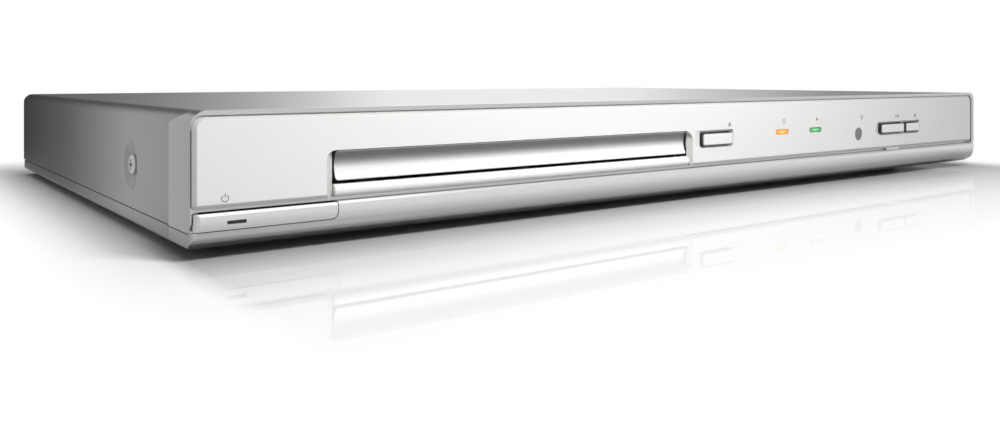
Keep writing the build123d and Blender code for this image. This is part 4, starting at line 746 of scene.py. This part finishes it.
def distance_outside(tree, place, half_width, half_depth, side_weight):
    """How far a floor point is from a box round the origin: the length of max(|p| - half, 0).

    The way to the side counts side_weight times.
    """
    step = place
    for operation, other in (("ABSOLUTE", None), ("SUBTRACT", (half_width, half_depth, 0.0)),
                             ("MAXIMUM", (0.0, 0.0, 0.0)), ("MULTIPLY", (side_weight, 1.0, 0.0))):
        node = tree.nodes.new("ShaderNodeVectorMath")
        node.operation = operation
        join(tree, step, node.inputs[0])
        if other is not None:
            node.inputs[1].default_value = other
        step = node.outputs["Vector"]
    length = tree.nodes.new("ShaderNodeVectorMath")
    length.operation = "LENGTH"
    join(tree, step, length.inputs[0])
    return length.outputs["Value"]


# %% Floor
plain_white = (1.0, 1.0, 1.0, 1.0)
floor_half = 8.0             # m
paint_fades = 0.07           # m from the case to where the paint has given way to white
side_shadow = 2.2            # how much sooner it does so at the sides, where the shadow is narrower
mirror_share = 0.55          # of the mirror image, at the case
mirror_fades = 0.1           # m in front of the case, where the mirror image has gone
card_gap = 0.008             # m between the left side and the side card, which the mirror leaves out


def make_floor():
    """A large square at z = 0: paint and mirror near the case, plain white farther off."""
    mesh = bpy.data.meshes.new("floor")
    mesh.from_pydata([(-floor_half, -floor_half, 0), (floor_half, -floor_half, 0),
                      (floor_half, floor_half, 0), (-floor_half, floor_half, 0)], [],
                     [(0, 1, 2, 3)])
    floor = add_object("floor", mesh)
    material = bpy.data.materials.new("white acrylic floor")
    tree, output = bare_tree(material, "ShaderNodeOutputMaterial")
    paint = add_node(tree, "ShaderNodeBsdfDiffuse", Color=(0.72, 0.705, 0.69, 1.0))
    thrown_back = add_node(tree, "ShaderNodeBsdfDiffuse", Color=(0.34, 0.34, 0.34, 1.0))
    mirror = add_node(tree, "ShaderNodeBsdfGlossy", Roughness=0.015, Color=(0.97, 0.97, 0.97, 1.0))
    white = add_node(tree, "ShaderNodeEmission", Color=plain_white, Strength=1.0)
    place = tree.nodes.new("ShaderNodeTexCoord").outputs["Object"]
    apart = tree.nodes.new("ShaderNodeSeparateXYZ")
    join(tree, place, apart.inputs["Vector"])
    from_left, from_front = apart.outputs["X"], apart.outputs["Y"]
    front, right = low_corner[1], high_corner[0]
    outside = distance_outside(tree, place, right, high_corner[1], side_shadow)
    far = blend_value(tree, outside, 0.0, paint_fades, 0.0, 1.0)
    surface = mix_shaders(tree, far, paint.outputs["BSDF"], white.outputs["Emission"])
    share = blend_value(tree, from_front, front - mirror_fades, front + 0.01, 0.0, mirror_share)
    for limit in (blend_value(tree, from_left, case_left - card_gap, case_left, 0.0, 1.0),
                  blend_value(tree, from_front, front + 0.02, front + 0.05, 1.0, 0.0),
                  blend_value(tree, from_left, right - 0.005, right + 0.02, 1.0, 0.0)):
        share = combine(tree, "MULTIPLY", share, limit)
    surface = mix_shaders(tree, share, surface, mirror.outputs["BSDF"])
    surface = mix_shaders(tree, seen_directly(tree), thrown_back.outputs["BSDF"], surface)
    join(tree, surface, output.inputs["Surface"])
    mesh.materials.append(material)


make_floor()

# %% [markdown]
# ## Light
# Soft light from a white room: the world is the room, seen as pure white behind the player. A small
# key lamp close to the front, above its left half, lights the plate there most and its right end
# least, and it shades the upper part of the door's scoop. No gloss shows that lamp. A broad lamp
# above lights the floor.

# %% World and lamps
def make_world():
    """White where the player shows the room or the camera sees past it, dimmer as light."""
    world = bpy.data.worlds.new("white room")
    bpy.context.scene.world = world
    tree, output = bare_tree(world, "ShaderNodeOutputWorld")
    room = add_node(tree, "ShaderNodeBackground", Color=plain_white, Strength=0.28)
    white = add_node(tree, "ShaderNodeBackground", Color=plain_white, Strength=1.0)
    surface = mix_shaders(tree, seen_directly(tree), room.outputs["Background"],
                          white.outputs["Background"])
    join(tree, surface, output.inputs["Surface"])


def soft_lamp(name, place, target, size, power):
    """A rectangular area lamp at place, turned so that its -Z looks at target."""
    data = bpy.data.lights.new(name, "AREA")
    data.shape = "RECTANGLE"
    data.size, data.size_y = size
    data.energy = power
    lamp = add_object(name, data)
    lamp.location = place
    reach = np.asarray(target, float) - np.asarray(place, float)
    flat = float(np.hypot(reach[0], reach[1]))
    lamp.rotation_euler = (atan2(flat, -reach[2]), 0.0, atan2(reach[1], reach[0]) - pi / 2)
    return lamp


make_world()
key_lamp = soft_lamp("key lamp", on_front(145.0, 300.0, 200.0), on_front(145.0, 20.0),
                     (0.12, 0.08), 1.45)
key_lamp.visible_glossy = False
soft_lamp("top lamp", (0.0, 0.2, 1.8), (0.0, 0.0, 0.0), (2.0, 2.0), 10.0)
bpy.context.scene.view_settings.view_transform = "Standard"

# %% [markdown]
# ## Graded cards
# A metal paint shows what stands round it. Two standing cards give it something to show, as in a
# studio: a wide curved one far behind, dark at both ends and white in its middle, which the cover's
# top mirrors, and a small one beside the left side, pale at its front end and dark at its rear end.
# Only glossy reflections see them. Each is a strip along a path on the floor, and its grey follows
# the place along that path, kept as an attribute of its points. The levels are fitted, not measured
# from any room: they were changed until the render's cover and left side came near greys read from
# the photo at chosen places.

# %% Graded cards
def graded_card(name, path, height, brightness, stops):
    """A strip from each point of the path straight up to the height, grey by the place along it."""
    count = len(path)
    foot = np.column_stack([path, np.zeros(count)])
    vertices = np.vstack([foot, foot + np.array([0.0, 0.0, height])])
    here = np.arange(count - 1)
    faces = np.stack([here, here + 1, here + 1 + count, here + count], -1)
    mesh = bpy.data.meshes.new(name)
    mesh.from_pydata(vertices.tolist(), [], faces.tolist())
    along = mesh.attributes.new("along", "FLOAT", "POINT")
    along.data.foreach_set("value", np.tile(np.linspace(0.0, 1.0, count), 2))
    material = bpy.data.materials.new(name + " paint")
    tree, output = bare_tree(material, "ShaderNodeOutputMaterial")
    grey = add_node(tree, "ShaderNodeEmission", Strength=brightness)
    place = tree.nodes.new("ShaderNodeAttribute")
    place.attribute_name = "along"
    ramp = tree.nodes.new("ShaderNodeValToRGB")
    elements = ramp.color_ramp.elements
    for index, (position, level) in enumerate(stops):
        stop = elements[index] if index < 2 else elements.new(position)
        stop.position = position
        stop.color = (level, level, level, 1.0)
    join(tree, place.outputs["Fac"], ramp.inputs["Fac"])
    join(tree, ramp.outputs["Color"], grey.inputs["Color"])
    join(tree, grey.outputs["Emission"], output.inputs["Surface"])
    mesh.materials.append(material)
    card = add_object(name, mesh)
    card.visible_camera = False
    card.visible_diffuse = False
    card.visible_shadow = False
    card.visible_transmission = False


wall_radius = 2.5                   # m, round the camera's place
wall_height = 1.4                   # m
wall_bearings = (-50.0, 100.0)      # degrees to the right of straight back, as seen from there
wall_levels = [(-50.0, 0.3), (-20.0, 0.08), (0.0, 0.02), (8.6, 0.025), (12.8, 0.06), (17.4, 0.2),
               (20.3, 0.33), (22.1, 0.44), (24.0, 0.57), (25.8, 0.71), (27.6, 0.86), (29.5, 1.0),
               (43.2, 1.0), (45.8, 0.94), (48.3, 0.75), (50.7, 0.585), (53.1, 0.465), (55.4, 0.31),
               (57.8, 0.19), (66.0, 0.22), (100.0, 0.5)]
bearings = np.radians(np.linspace(*wall_bearings, 76))
wall_path = np.column_stack([camera.location.x + wall_radius * np.sin(bearings),
                             camera.location.y + wall_radius * np.cos(bearings)])
wall_span = wall_bearings[1] - wall_bearings[0]
graded_card("back card", wall_path, wall_height, 1.42,
            [((bearing - wall_bearings[0]) / wall_span, level) for bearing, level in wall_levels])

side_reach = 640.0                  # mm, from the front plane to the far end of the side card
side_height = 0.15                  # m
side_points = 17
side_levels = [(0.0, 0.48), (40.0, 0.52), (56.0, 0.57), (85.0, 0.63), (109.0, 0.53), (133.0, 0.4),
               (191.0, 0.19), (315.0, 0.05), (640.0, 0.02)]
side_path = np.column_stack([np.full(side_points, case_left - card_gap),
                             front_plane + np.linspace(0.0, side_reach, side_points) * mm])
graded_card("side card", side_path, side_height, 1.1,
            [(reach / side_reach, level) for reach, level in side_levels])
print("cards:", len(wall_levels), "and", len(side_levels), "grades")
